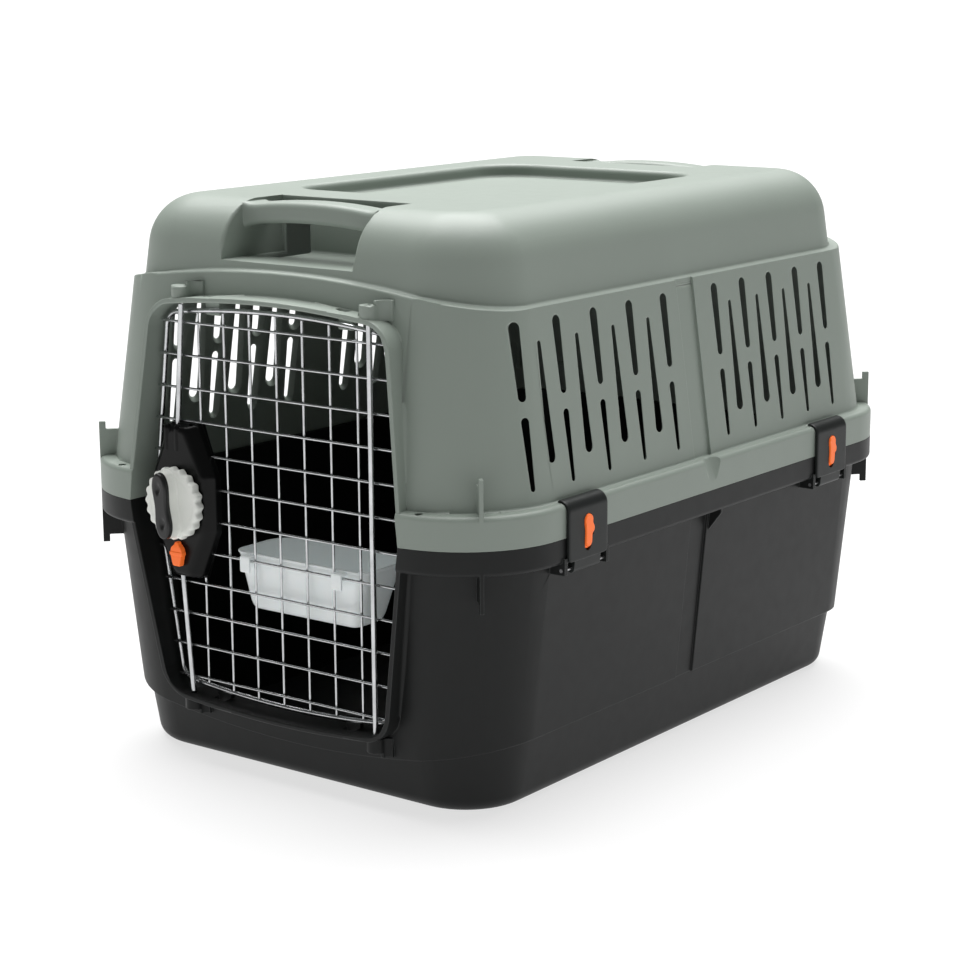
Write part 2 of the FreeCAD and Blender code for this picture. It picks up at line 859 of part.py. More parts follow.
def tie_notches():
    """Half-round hollows in the upper rim's sides that fade downwards, and small holes near the collar."""
    made = []
    low = RIM_TOP - S["rim_rise"]
    lean = S["rim_rise"] * tangent(S["tie_tilt"])
    for side, sign in (("left", -1), ("right", 1)):
        x = S["rim_half_width"] + S["tie_radius"] - S["tie_depth"] + lean
        turn = (Y_AXIS, S["tie_tilt"] * -sign)
        at = (x * sign, -S["channel_offset"], low)
        made.append(cylinder(f"tie_notch_{side}", S["tie_radius"], S["rim_rise"] * 1.4, at, turn))
        for end, y in (("front", FRONT + S["tie_hole_inset"]), ("rear", REAR - S["tie_hole_inset"])):
            at = (S["tie_hole_spread"] * sign, y, RIM_TOP - S["tie_hole_depth"])
            radius, depth = S["tie_hole_radius"], S["tie_hole_depth"] * 2
            made.append(cylinder(f"tie_hole_{end}_{side}", radius, depth, at))
    return made


def tie_fins():
    """Slanting fins under the lower rim's sides."""
    made = []
    y = S["channel_width"] / 2 - S["channel_offset"] + S["tie_fin_thickness"]
    inner = S["rim_half_width"] - lower_inset(RIM_BOTTOM) - S["wall"] / 2
    outer = S["rim_half_width"] - S["rim_edge"] / 4
    top = RIM_BOTTOM + S["rim_edge"]
    for side, sign in (("left", -1), ("right", 1)):
        body = new_body(f"tie_fin_{side}")
        sketch = new_sketch(body, f"tie_fin_{side}_outline", "XZ_Plane", -y)
        nose = RIM_BOTTOM - S["tie_fin_thickness"]
        polygon(
            sketch,
            [
                (inner * sign, RIM_BOTTOM - S["tie_fin_drop"]),
                (outer * sign, nose),
                (outer * sign, top),
                (inner * sign, top),
            ],
        )
        pad(body, f"tie_fin_{side}_pad", sketch, S["tie_fin_thickness"], back=True)
        made.append(body)
    return made


def hooks(name, up):
    """Slanting hook plates at the four corners of the rim."""
    made = []
    rim = RIM_TOP if up > 0 else RIM_BOTTOM
    for end, y_sign, radius in (("front", -1, S["rim_front_radius"]), ("rear", 1, S["rim_rear_radius"])):
        for side, x_sign in (("left", -1), ("right", 1)):
            inner = radius - S["hook_length"]
            turn = (Z_AXIS, number(math.degrees(math.atan2(y_sign, x_sign))))
            middle_x = (S["rim_half_width"] - radius) * x_sign
            middle_y = (REAR - radius) * y_sign
            half = S["hook_thickness"] / 2
            for part, start, length, rise in (
                ("plate", inner, S["hook_length"], S["hook_rise"]),
                ("prong", radius - S["hook_prong"], S["hook_prong"], S["hook_rise"] + S["hook_prong_rise"]),
            ):
                x = middle_x + start * (TILT_45 * x_sign) + half * (TILT_45 * y_sign)
                y = middle_y + start * (TILT_45 * y_sign) - half * (TILT_45 * x_sign)
                tall = rise + S["rim_edge"]
                z = rim - S["rim_edge"] if up > 0 else rim - rise
                label = f"{name}_{part}_{end}_{side}"
                made.append(box(label, length, S["hook_thickness"], tall, (x, y, z), turn))
    return made


CLIP_Y = {"front": FRONT + S["clip_front_gap"], "rear": REAR - S["clip_rear_gap"]}
CLIP_SIDES = {"left": -1, "right": 1}
PIN_X = S["rim_half_width"] - S["clip_pin_inset"]
PIN_Z = RIM_BOTTOM - S["clip_pin_drop"]


def across(sign, near, far):
    """The lower of two distances from the middle, seen from one side."""
    return near * sign if sign > 0 else far * sign


def clip_ears():
    """Pairs of lugs under the rim that hold the clips' hinge pins."""
    made = []
    for end, y in CLIP_Y.items():
        for side, sign in CLIP_SIDES.items():
            inner = S["rim_half_width"] - lower_inset(RIM_BOTTOM) - S["wall"] / 2
            outer = PIN_X + S["clip_knuckle_radius"]
            low = PIN_Z - S["clip_knuckle_radius"]
            for place_name, y0 in (
                ("a", y - S["clip_width"] / 2 - S["clip_ear"]),
                ("b", y + S["clip_width"] / 2),
            ):
                ear = box(
                    f"ear_{end}_{side}_{place_name}",
                    outer - inner,
                    S["clip_ear"],
                    RIM_BOTTOM + S["rim_edge"] - low,
                    (across(sign, inner, outer), y0, low),
                )
                made.append(ear)
    return made


def pin_bores(name, radius):
    made = []
    for end, y in CLIP_Y.items():
        for side, sign in CLIP_SIDES.items():
            made.append(
                cylinder(
                    f"{name}_{end}_{side}",
                    radius,
                    S["clip_width"] + S["clip_ear"] * 2,
                    (PIN_X * sign, y - S["clip_width"] / 2 - S["clip_ear"], PIN_Z),
                    (X_AXIS, number(-90)),
                )
            )
    return made


def lower_shell():
    """The tub: rim, tapered walls, a stepped skirt and a flat base."""
    body = new_body("lower_outer")
    outline = shell_outline(body, "lower_rim_outline", SEAM, ZERO, "rim")
    rim = pad(body, "lower_rim", outline, S["rim_drop"], back=True)
    round_edges(body, "lower_rim_edge", rim, S["rim_edge"] * 0.8, level(RIM_BOTTOM))
    bottom = S["ridge_height"] - S["ridge_dip"] - S["ridge_step"]
    loft(
        body,
        "lower_wall",
        [
            shell_outline(body, "lower_wall_low", bottom, lower_inset(bottom)),
            shell_outline(body, "lower_wall_high", SEAM, lower_inset(SEAM)),
        ],
    )
    ridge = S["ridge_height"]
    start = bottom - S["ridge_step"]
    channel_cut(body, "lower_channel", start, RIM_BOTTOM, lower_inset(bottom), lower_inset(RIM_BOTTOM))
    crown_cut(
        body,
        "lower_ridge",
        S["rim_half_width"] - lower_inset(ridge),
        ridge,
        ridge - S["ridge_dip"],
        -S["ridge_height"],
    )
    skirt_top = ridge + S["ridge_step"]
    skirt = loft(
        body,
        "skirt",
        [
            shell_outline(body, "skirt_low", ZERO, skirt_inset(ZERO)),
            shell_outline(body, "skirt_high", skirt_top, skirt_inset(skirt_top)),
        ],
    )
    round_edges(body, "base_edge", skirt, S["base_fillet"], level(ZERO))

    cavity = new_body("lower_cavity")
    floor = S["floor_thickness"]
    over = ridge + S["ridge_step"] * 2
    floor_inset = skirt_inset(floor) + S["wall"] + S["base_fillet"] / 3
    loft(
        cavity,
        "lower_hollow",
        [
            shell_outline(cavity, "hollow_floor", floor, floor_inset),
            shell_outline(cavity, "hollow_ridge", ridge, skirt_inset(ridge) + S["wall"]),
            shell_outline(cavity, "hollow_wall", over, lower_inset(over) + S["wall"]),
            shell_outline(cavity, "hollow_top", SEAM, lower_inset(SEAM) + S["wall"] * 1.5),
        ],
    )
    tub = cut("lower_tub", body, cavity)
    added = bosses("lower_boss", -1) + boss_webs("lower_boss", -1, lower_inset)
    added += hooks("lower_hook", -1) + clip_ears() + tie_fins()
    solid = fuse("lower_solid", [tub, collar("lower_collar", -1)] + added)
    holes = [opening("lower_opening", -1)] + boss_holes("lower_hole", -1)
    holes += stop_slots("lower_stop_slot", -1)
    holes += pin_bores("ear_bore", S["clip_pin_radius"] + S["running_fit"])
    open_tub = cut("lower_open", solid, fuse("lower_cuts", holes))
    return fuse("lower_stopped", [open_tub] + stops("lower_stop", -1))


def vents():
    """Bars that cut the side vents: a tapered pair in each short column, one long slot between them."""
    body = new_body("vent_bars")
    body.AllowCompound = True
    middle = (LEDGE + RIM_TOP) / 2
    half = S["vent_bridge"] / 2
    wide, mid, thin = S["vent_wide"], S["vent_middle"], S["vent_narrow"]
    kinds = {
        "high": (middle + half, LEDGE - S["vent_top_gap"], mid, wide, 0, 5),
        "low": (RIM_TOP + S["vent_bottom_gap"], middle - half, thin, mid, 0, 5),
        "long": (
            RIM_TOP + S["vent_long_bottom_gap"],
            LEDGE - S["vent_long_top_gap"],
            wide,
            thin,
            0.5,
            4,
        ),
    }
    groups = {
        "front": (FRONT + S["vent_front_start"], S["vent_front_pitch"], 1),
        "rear": (REAR - S["vent_rear_start"], S["vent_rear_pitch"], -1),
    }
    for where, (start, pitch, sign) in groups.items():
        for kind, (low, high, low_radius, high_radius, shift, count) in kinds.items():
            name = f"vent_{where}_{kind}"
            sketch = new_sketch(body, name + "_outline", "YZ_Plane")
            taper_slot(sketch, start + pitch * (shift * sign), low, high, low_radius, high_radius)
            feature = pad(body, name, sketch, S["rim_half_width"] * 2, both=True)
            linear_pattern(body, name + "_row", feature, "Y_Axis", pitch, number(count), back=sign < 0)
    return body


def handle_cut(body, name, sign, grow):
    """The hand scoop round a handle bar and the slot behind it, or the block that holds both."""
    end = FRONT if sign < 0 else REAR
    bar_front = end - (dome_inset(TOP) + S["handle_setback"]) * sign
    bar_back = bar_front - S["handle_bar_depth"] * sign
    slot_back = bar_back - (S["handle_slot"] + grow) * sign
    outside = end + S["shell_length"] / 20 * sign
    low = TOP - S["handle_drop"] - grow
    bar_low = TOP - S["handle_bar_height"]
    bar_high = TOP - S["handle_bar_sink"]
    above = TOP + S["wall"] * 2
    sketch = new_sketch(body, name + "_outline", "YZ_Plane")
    polygon(sketch, [(outside, low), (slot_back, low), (slot_back, above), (outside, above)])
    if grow.value == 0:
        polygon(
            sketch,
            [(bar_front, bar_low), (bar_back, bar_low), (bar_back, bar_high), (bar_front, bar_high)],
        )
    made = pocket(body, name, sketch, (S["handle_half_width"] + grow) * 2)
    made.SideType = "Symmetric"
    return made


def handle_windows():
    """Openings through the ends of each hand scoop into the cabin."""
    made = []
    for end, sign in (("front", -1), ("rear", 1)):
        edge = FRONT if sign < 0 else REAR
        bar_back = edge - (dome_inset(TOP) + S["handle_setback"] + S["handle_bar_depth"]) * sign
        near = bar_back + S["handle_slot"] * sign
        far = bar_back - (S["handle_slot"] + S["wall"] * 2) * sign
        low_y = near if sign < 0 else far
        for side, x in (
            ("left", -S["handle_half_width"] + S["wall"]),
            ("right", S["handle_half_width"] - S["wall"] - S["handle_window"]),
        ):
            made.append(
                box(
                    f"window_{end}_{side}",
                    S["handle_window"],
                    S["handle_slot"] * 2 + S["wall"] * 2,
                    S["handle_drop"] - S["handle_bar_height"] + S["wall"],
                    (x, low_y, TOP - S["handle_drop"] - S["wall"] * 2),
                )
            )
    return made


def tray_cut(body, name, grow, depth, height):
    sketch = new_sketch(body, name + "_outline", "XY_Plane", height)
    rounded_rectangle(
        sketch,
        S["tray_half_width"] + grow,
        FRONT + S["tray_front_gap"] - grow,
        REAR - S["tray_rear_gap"] + grow,
        S["tray_radius"] + grow,
        S["tray_radius"] + grow,
    )
    return pocket(body, name, sketch, depth)


def upper_shell():
    """The hood: rim, vented walls, an arched ledge and a dome with a tray and two handles."""
    body = new_body("upper_outer")
    rim = pad(body, "upper_rim", shell_outline(body, "upper_rim_outline", SEAM, ZERO, "rim"), S["rim_rise"])
    round_edges(body, "upper_rim_edge", rim, S["rim_edge"], level(RIM_TOP))
    arch_top = LEDGE + S["ledge_arch"] + S["wall"]
    loft(
        body,
        "upper_wall",
        [
            shell_outline(body, "upper_wall_low", SEAM, upper_inset(SEAM)),
            shell_outline(body, "upper_wall_high", arch_top, upper_inset(arch_top)),
        ],
    )
    crown_cut(
        body,
        "ledge",
        S["rim_half_width"] - upper_inset(LEDGE),
        LEDGE,
        LEDGE + S["ledge_arch"],
        TOP,
    )
    channel_cut(body, "upper_channel", RIM_TOP, arch_top, upper_inset(RIM_TOP), upper_inset(arch_top))
    foot = LEDGE - S["rim_rise"]
    dome = loft(
        body,
        "dome",
        [
            shell_outline(body, "dome_low", foot, dome_inset(foot), "dome"),
            shell_outline(body, "dome_high", TOP, dome_inset(TOP), "dome"),
        ],
    )
    round_edges(body, "dome_edge", dome, S["dome_fillet"], level(TOP))
    tray_cut(body, "tray", ZERO, S["tray_depth"], TOP)
    handle_cut(body, "handle_front", -1, ZERO)
    handle_cut(body, "handle_rear", 1, ZERO)

    cavity = new_body("upper_cavity")
    wall = S["wall"]
    shelf = LEDGE - wall
    loft(
        cavity,
        "upper_hollow",
        [
            shell_outline(cavity, "hollow_seam", SEAM, upper_inset(SEAM) + wall * 1.5),
            shell_outline(cavity, "hollow_shelf", shelf, upper_inset(shelf) + wall),
        ],
    )
    ceiling = TOP - wall
    hollow_dome = loft(
        cavity,
        "dome_hollow",
        [
            shell_outline(cavity, "dome_hollow_low", foot, dome_inset(foot) + wall, "dome"),
            shell_outline(cavity, "dome_hollow_high", ceiling, dome_inset(ceiling) + wall, "dome"),
        ],
    )
    round_edges(cavity, "dome_hollow_edge", hollow_dome, S["dome_fillet"] - wall, level(ceiling))
    tray_cut(cavity, "tray_hollow", wall, S["tray_depth"], ceiling)
    handle_cut(cavity, "handle_front_block", -1, wall)
    handle_cut(cavity, "handle_rear_block", 1, wall)
    hood = cut("upper_hood", cut("upper_hollowed", body, cavity), vents())
    added = bosses("upper_boss", 1) + boss_webs("upper_boss", 1, upper_inset) + hooks("upper_hook", 1)
    solid = fuse("upper_solid", [hood, collar("upper_collar", 1)] + added)
    holes = [opening("upper_opening", 1)] + boss_holes("upper_hole", 1) + handle_windows()
    holes += stop_slots("upper_stop_slot", 1) + tie_notches()
    open_hood = cut("upper_open", solid, fuse("upper_cuts", holes))
    return fuse("upper_stopped", [open_hood] + stops("upper_stop", 1))


HOUSING_FRONT = DOOR - S["housing_depth"]
HOUSING_BACK = DOOR + S["housing_back"]
DISC_BACK = HOUSING_FRONT - S["disc_gap"]
DISC_FRONT = DISC_BACK - S["disc_depth"]
KNOB_X = -S["latch_offset"]
KNOB_Z = S["latch_height"]
FRAME_HALF = S["opening_half_width"] - S["door_gap"]
RACK_NEAR = ROD_LINE - S["rack_thickness"] / 2
TOOTH_PITCH = S["pinion_pitch_radius"] * (2 * math.pi) / S["pinion_teeth"]


def rectangle(sketch, x0, x1, y0, y1):
    polygon(sketch, [(x0, y0), (x1, y0), (x1, y1), (x0, y1)])


def polar_pattern(body, name, feature, count):
    """Repeat a feature all the way round the body's own Y axis."""
    made = body.newObject("PartDesign::PolarPattern", name)
    made.Originals = [feature]
    axis = next(f for f in body.Origin.OriginFeatures if f.Role == "Y_Axis")
    made.Axis = (axis, [""])
    made.Angle = 360
    bind(made, "Occurrences", count)
    body.Tip = made
    return made


def frame_end(x, up):
    """Height of the frame wire's line at a distance from the middle."""
    return crown_height(x, up, -S["door_end_gap"])


def frame_side(height):
    """Half the width between the frame wire's sides at a height."""
    if height.value > SEAM.value:
        return FRAME_HALF - (height - SEAM) * tangent(S["opening_rise_flare"])
    return FRAME_HALF - (SEAM - height) * tangent(S["opening_drop_flare"])


def row_height(index):
    return frame_end(ZERO, 1) - S["row_top_gap"] - S["row_pitch"] * index


def frame_half(name, up):
    """Half of the door's frame: a round wire bent along the door's outline."""
    body = new_body(name)
    path = new_sketch(body, name + "_path", "XZ_Plane", -FRAME_LINE)
    arched(
        path,
        SEAM,
        FRAME_HALF,
        S["opening_rise_flare"] if up > 0 else S["opening_drop_flare"],
        frame_end(ZERO, up),
        S["frame_corner"],
        S["crown_radius"] - S["door_end_gap"],
        up,
        closed=False,
    )
    profile = new_sketch(body, name + "_profile", "XY_Plane", SEAM)
    circle(profile, FRAME_HALF, FRAME_LINE, S["frame_radius"])
    doc.recompute()
    pipe = body.newObject("PartDesign::AdditivePipe", name + "_wire")
    pipe.Profile = profile
    pipe.Spine = (path, [f"Edge{i}" for i in range(1, 6)])
    return body


def housing_outline(body, name, grow, offset, trim=ZERO):
    """The latch housing's long eight-sided outline about the knob's axis, trimmed at its flanks."""
    sketch = new_sketch(body, name, "XZ_Plane", offset)
    end, side = S["housing_end_half_width"] + grow, S["housing_half_width"] + grow - trim
    high, flank = S["housing_half_height"] + grow, S["housing_flank"]
    polygon(
        sketch,
        [
            (end, high),
            (side, flank),
            (side, -flank),
            (end, -high),
            (-end, -high),
            (-side, -flank),
            (-side, flank),
            (-end, high),
        ],
    )
    return sketch


def knob_body(name, turn=None):
    return place(new_body(name), KNOB_X, ZERO, KNOB_Z, turn)


def wires():
    """The mesh: upright wires behind, level wires in front, both stopping at the latch housing."""
    block = knob_body("wire_stop")
    room = S["housing_back"] * 2
    sketch = housing_outline(block, "wire_stop_outline", S["rod_clearance"], -(DOOR - room))
    pad(block, "wire_stop_block", sketch, room * 2, back=True)
    columns = []
    count = int(SIZES["wire_columns"])
    for i in range(count):
        x = S["wire_pitch"] * (i - (count - 1) / 2)
        low = frame_end(x, -1) + S["frame_radius"] + S["weld_gap"]
        high = frame_end(x, 1) - S["frame_radius"] - S["weld_gap"]
        at = (x, DOOR + S["wire_radius"], low)
        columns.append(cylinder(f"column_{i}", S["wire_radius"], high - low, at))
    rows = []
    for i in range(int(SIZES["row_count"])):
        z = row_height(i)
        half = frame_side(z) + S["wire_overhang"]
        at = (-half, DOOR - S["wire_radius"], z)
        rows.append(cylinder(f"row_{i}", S["wire_radius"], half * 2, at, (Y_AXIS, number(90))))
    finish("door_vertical_wires", cut("columns_cut", group("columns", columns), block))
    finish("door_horizontal_wires", cut("rows_cut", group("rows", rows), block))


def hinge_rod():
    """The straight rod the door turns on, running up into both bosses."""
    spare = S["boss_length"] / 2
    low = crown_height(S["hinge_offset"], -1) - S["collar_wall"] / 2 - spare
    high = crown_height(S["hinge_offset"], 1) + S["collar_wall"] / 2 + spare
    return cylinder("hinge_wire", S["rod_radius"], high - low, (S["hinge_offset"], ROD_LINE, low))


def rod_run(up):
    """Distance from the knob's level to a latch rod's tip, along the rod."""
    rise = rod_tip(up) - KNOB_Z if up > 0 else KNOB_Z - rod_tip(up)
    return (rise - RACK_DISTANCE * sine(S["rod_tilt"])) / cosine(S["rod_tilt"])


def rod_point(up, run):
    """A point on a latch rod's line."""
    x = KNOB_X - RACK_DISTANCE * cosine(S["rod_tilt"]) + run * sine(S["rod_tilt"])
    rise = RACK_DISTANCE * sine(S["rod_tilt"]) + run * cosine(S["rod_tilt"])
    return (x, ROD_LINE, KNOB_Z + rise * up)


SCREW_PLACES = [(x, z) for x in (-1, 1) for z in (-1, 1)]


def screw_circles(sketch, radius):
    for x, z in SCREW_PLACES:
        circle(sketch, S["screw_offset"] * x, S["screw_spread"] * z, radius)


def latch_front():
    """The housing's front half: hollow, with four screw posts and holes for spindle, rods and catch."""
    body = knob_body("latch_front_half")
    shell = housing_outline(body, "front_outline", ZERO, -HOUSING_FRONT)
    pad(body, "front_block", shell, S["housing_depth"], back=True)
    hollow = housing_outline(body, "front_hollow_outline", -S["housing_wall"], -DOOR)
    pocket(body, "front_hollow", hollow, S["housing_depth"] - S["housing_wall"], back=True)
    posts = new_sketch(body, "post_circles", "XZ_Plane", -DOOR)
    screw_circles(posts, S["screw_post"])
    pad(body, "posts", posts, S["housing_depth"] - S["housing_wall"] / 2)
    holes = new_sketch(body, "post_holes_circles", "XZ_Plane", -DOOR)
    screw_circles(holes, S["screw_radius"] + S["running_fit"])
    pocket(body, "post_holes", holes, S["screw_length"] - S["housing_back"] + S["rod_clearance"], back=True)
    spindle = new_sketch(body, "spindle_circle", "XZ_Plane", -HOUSING_FRONT)
    circle(spindle, ZERO, ZERO, S["spindle_radius"] + S["running_fit"])
    pocket(body, "spindle_hole", spindle, S["housing_wall"] * 2)
    slot = new_sketch(body, "catch_slot_outline", "XZ_Plane", -HOUSING_FRONT)
    half = S["catch_stem_width"] / 2 + S["slide_gap"]
    low = CATCH_STEM_LOW - S["slide_gap"]
    high = CATCH_STEM_LOW + S["catch_stem_height"] + S["catch_travel"] + S["slide_gap"]
    rectangle(slot, -half, half, low, high)
    pocket(body, "catch_slot", slot, S["housing_wall"] * 2)
    holes = []
    for name, up in (("upper", 1), ("lower", -1)):
        start = S["housing_half_height"] * 0.75
        radius = S["rod_radius"] + S["rod_clearance"]
        holes.append(
            cylinder(f"rod_way_{name}", radius, S["housing_half_height"], rod_point(up, start), tilted(up))
        )
    return cut("latch_front_cut", body, fuse("rod_ways", holes))


def latch_back():
    """The housing's back plate, with holes for the screws and the spindle's pivot."""
    body = knob_body("latch_back_half")
    plate = housing_outline(body, "back_outline", ZERO, -DOOR, S["housing_back_trim"])
    pad(body, "back_plate", plate, S["housing_back"], back=True)
    holes = new_sketch(body, "back_holes_circles", "XZ_Plane", -DOOR)
    screw_circles(holes, S["screw_radius"] + S["running_fit"])
    circle(holes, ZERO, ZERO, S["pivot_radius"] + S["running_fit"])
    pocket(body, "back_holes", holes)
    return body


def screws():
    """Four pan-headed screws driven from inside the door."""
    made = []
    for i, (x, z) in enumerate(SCREW_PLACES):
        at_x = KNOB_X + S["screw_offset"] * x
        at_z = KNOB_Z + S["screw_spread"] * z
        turn = (X_AXIS, number(-90))
        start = (at_x, HOUSING_BACK - S["screw_length"], at_z)
        shank = cylinder(f"shank_{i}", S["screw_radius"], S["screw_length"], start, turn)
        seat = (at_x, HOUSING_BACK, at_z)
        head = cylinder(f"head_{i}", S["screw_head"], S["screw_radius"] * 1.5, seat, turn)
        made.append(fuse(f"screw_{i}", [shank, head]))
    return group("screws", made)


def knob_disc():
    """The scalloped disc with the raised boss that carries the grip."""
    body = knob_body("disc")
    outline = new_sketch(body, "disc_outline", "XZ_Plane", -DISC_BACK)
    circle(outline, ZERO, ZERO, S["disc_radius"])
    pad(body, "disc_plate", outline, S["disc_depth"])
    scallop = new_sketch(body, "scallop_outline", "XZ_Plane", -DISC_BACK)
    distance = S["disc_radius"] + S["scallop_radius"] - S["scallop_depth"]
    circle(scallop, -distance, ZERO, S["scallop_radius"])
    notch = pocket(body, "scallop", scallop)
    polar_pattern(body, "scallops", notch, S["scallop_count"])
    boss = new_sketch(body, "grip_boss_outline", "XZ_Plane", -DISC_FRONT)
    grip_outline(boss)
    pad(body, "grip_boss", boss, S["boss_height"])
    return body


def grip_outline(sketch):
    half, end = S["grip_width"] / 2, S["grip_length"] / 2
    corner = S["grip_width"] * 0.45
    rounded_rectangle(sketch, half, -end, end, corner, corner)


def knob_grip():
    """The soft cap on the knob's boss, its outer edge well rounded."""
    body = knob_body("grip")
    face = DISC_FRONT - S["boss_height"]
    outline = new_sketch(body, "grip_cap_outline", "XZ_Plane", -face)
    grip_outline(outline)
    cap = pad(body, "grip_cap", outline, S["grip_height"])
    front = (face - S["grip_height"]).value
    round_edges(
        body,
        "grip_edge",
        cap,
        S["grip_height"] * 0.4,
        lambda edge: abs(edge.BoundBox.YMin - front) < 1e-3 and edge.BoundBox.YLength < 1e-3,
    )
    return body


def latch_pinion():
    """The spindle behind the knob, its toothed pinion and its rear pivot."""
    body = knob_body("pinion", (Y_AXIS, S["rod_tilt"]))
    gear = new_sketch(body, "pinion_root", "XZ_Plane", -RACK_NEAR)
    circle(gear, ZERO, ZERO, S["pinion_pitch_radius"] - S["tooth_depth"])
    pad(body, "pinion_core", gear, S["rack_thickness"], back=True)
    tooth = new_sketch(body, "tooth_outline", "XZ_Plane", -RACK_NEAR)
    half = S["tooth_width"] / 2
    tip = S["pinion_pitch_radius"] + S["tooth_height"]
    rectangle(tooth, -tip, -(S["pinion_pitch_radius"] - S["tooth_depth"] * 2), -half, half)
    one = pad(body, "tooth", tooth, S["rack_thickness"], back=True)
    polar_pattern(body, "teeth", one, S["pinion_teeth"])
    spindle = new_sketch(body, "spindle_outline", "XZ_Plane", -RACK_NEAR)
    circle(spindle, ZERO, ZERO, S["spindle_radius"])
    pad(body, "spindle", spindle, RACK_NEAR - DISC_BACK)
    pivot = new_sketch(body, "pivot_outline", "XZ_Plane", -(RACK_NEAR + S["rack_thickness"]))
    circle(pivot, ZERO, ZERO, S["pivot_radius"])
    pad(body, "pivot", pivot, HOUSING_BACK - RACK_NEAR - S["rack_thickness"], back=True)
    return body


def latch_rod(name, up):
    """A latch rod with the rack the pinion drives, beside the pinion for the upper rod.

    The lower rod reaches its rack, on the pinion's other side, by a crossbar.
    """
    body = knob_body(name, (Y_AXIS, S["rod_tilt"] * up))
    side = -up
    tips = S["pinion_pitch_radius"] - S["tooth_height"]
    roots = S["pinion_pitch_radius"] + S["tooth_depth"]
    outer = roots + S["rack_width"]
    end = S["rack_end"]
    bar = new_sketch(body, name + "_bar_outline", "XZ_Plane", -RACK_NEAR)
    drop = S["crossbar_drop"]
    low, high = (-end, drop) if up > 0 else (-drop - S["crossbar_width"], end)
    if side < 0:
        rectangle(bar, -outer, -tips, low, high)
    else:
        rectangle(bar, tips, outer, low, high)
    pad(body, name + "_bar", bar, S["rack_thickness"], back=True)
    if up < 0:
        cross = new_sketch(body, name + "_cross_outline", "XZ_Plane", -RACK_NEAR)
        rectangle(cross, -outer, outer, low, -drop)
        pad(body, name + "_cross", cross, S["rack_thickness"], back=True)
    phase = ZERO if up > 0 else -(S["pinion_pitch_radius"] * S["rod_tilt"] * (2 * math.pi / 180))
    first = phase + TOOTH_PITCH * up
    half = (TOOTH_PITCH - S["tooth_width"]) / 2
    gap = new_sketch(body, name + "_gap_outline", "XZ_Plane", -RACK_NEAR)
    inner = tips - S["tooth_height"]
    if side < 0:
        rectangle(gap, -roots, -inner, first - half, first + half)
    else:
        rectangle(gap, inner, roots, first - half, first + half)
    one = pocket(body, name + "_gap", gap, S["rack_thickness"])
    linear_pattern(body, name + "_gaps", one, "Z_Axis", TOOTH_PITCH, S["rack_gaps"], back=up > 0)
    start = drop - S["crossbar_width"] if up > 0 else drop + S["crossbar_width"] / 2
    rod = new_sketch(body, name + "_circle", "XY_Plane", start * up)
    circle(rod, -RACK_DISTANCE, ROD_LINE, S["rod_radius"])
    pad(body, name + "_rod", rod, rod_run(up) - start, back=up < 0)
    return body


CATCH_TOP = -S["disc_radius"] - S["catch_gap"]
CATCH_STEM_LOW = CATCH_TOP - S["catch_height"] / 2 - S["catch_stem_height"] / 2


def safety_catch():
    """The slider under the knob: a thumb plate, a tongue for the scallops, a stem and its flange."""
    body = knob_body("catch")
    back = HOUSING_FRONT - S["slide_gap"]
    plate = new_sketch(body, "catch_outline", "XZ_Plane", -back)
    half, tip = S["catch_width"] / 2, S["catch_tip"] / 2
    shoulder = CATCH_TOP - S["catch_tongue"]
    low = CATCH_TOP - S["catch_height"]
    polygon(
        plate,
        [
            (-half, shoulder - S["catch_tongue"]),
            (-half * 0.8, low),
            (half * 0.8, low),
            (half, shoulder - S["catch_tongue"]),
            (tip * 1.6, shoulder),
            (tip, CATCH_TOP),
            (-tip, CATCH_TOP),
            (-tip * 1.6, shoulder),
        ],
    )
    pad(body, "catch_plate", plate, S["catch_depth"])
    stem = new_sketch(body, "catch_stem_outline", "XZ_Plane", -back)
    width = S["catch_stem_width"] / 2
    top = CATCH_STEM_LOW + S["catch_stem_height"]
    rectangle(stem, -width, width, CATCH_STEM_LOW, top)
    inside = HOUSING_FRONT + S["housing_wall"] + S["slide_gap"]
    pad(body, "catch_stem", stem, inside - back + S["catch_flange_depth"], back=True)
    flange = new_sketch(body, "catch_flange_outline", "XZ_Plane", -inside)
    spread = width + S["catch_flange"]
    rectangle(flange, -spread, spread, CATCH_STEM_LOW - S["catch_flange"], top + S["catch_flange"])
    pad(body, "catch_flange", flange, S["catch_flange_depth"], back=True)
    return body


CLIP_INNER = S["rim_half_width"] + S["clip_gap"]
CLIP_OUTER = CLIP_INNER + S["clip_thickness"]
KEY_HIGH = SEAM + S["key_height"] / 2 + S["key_travel"]


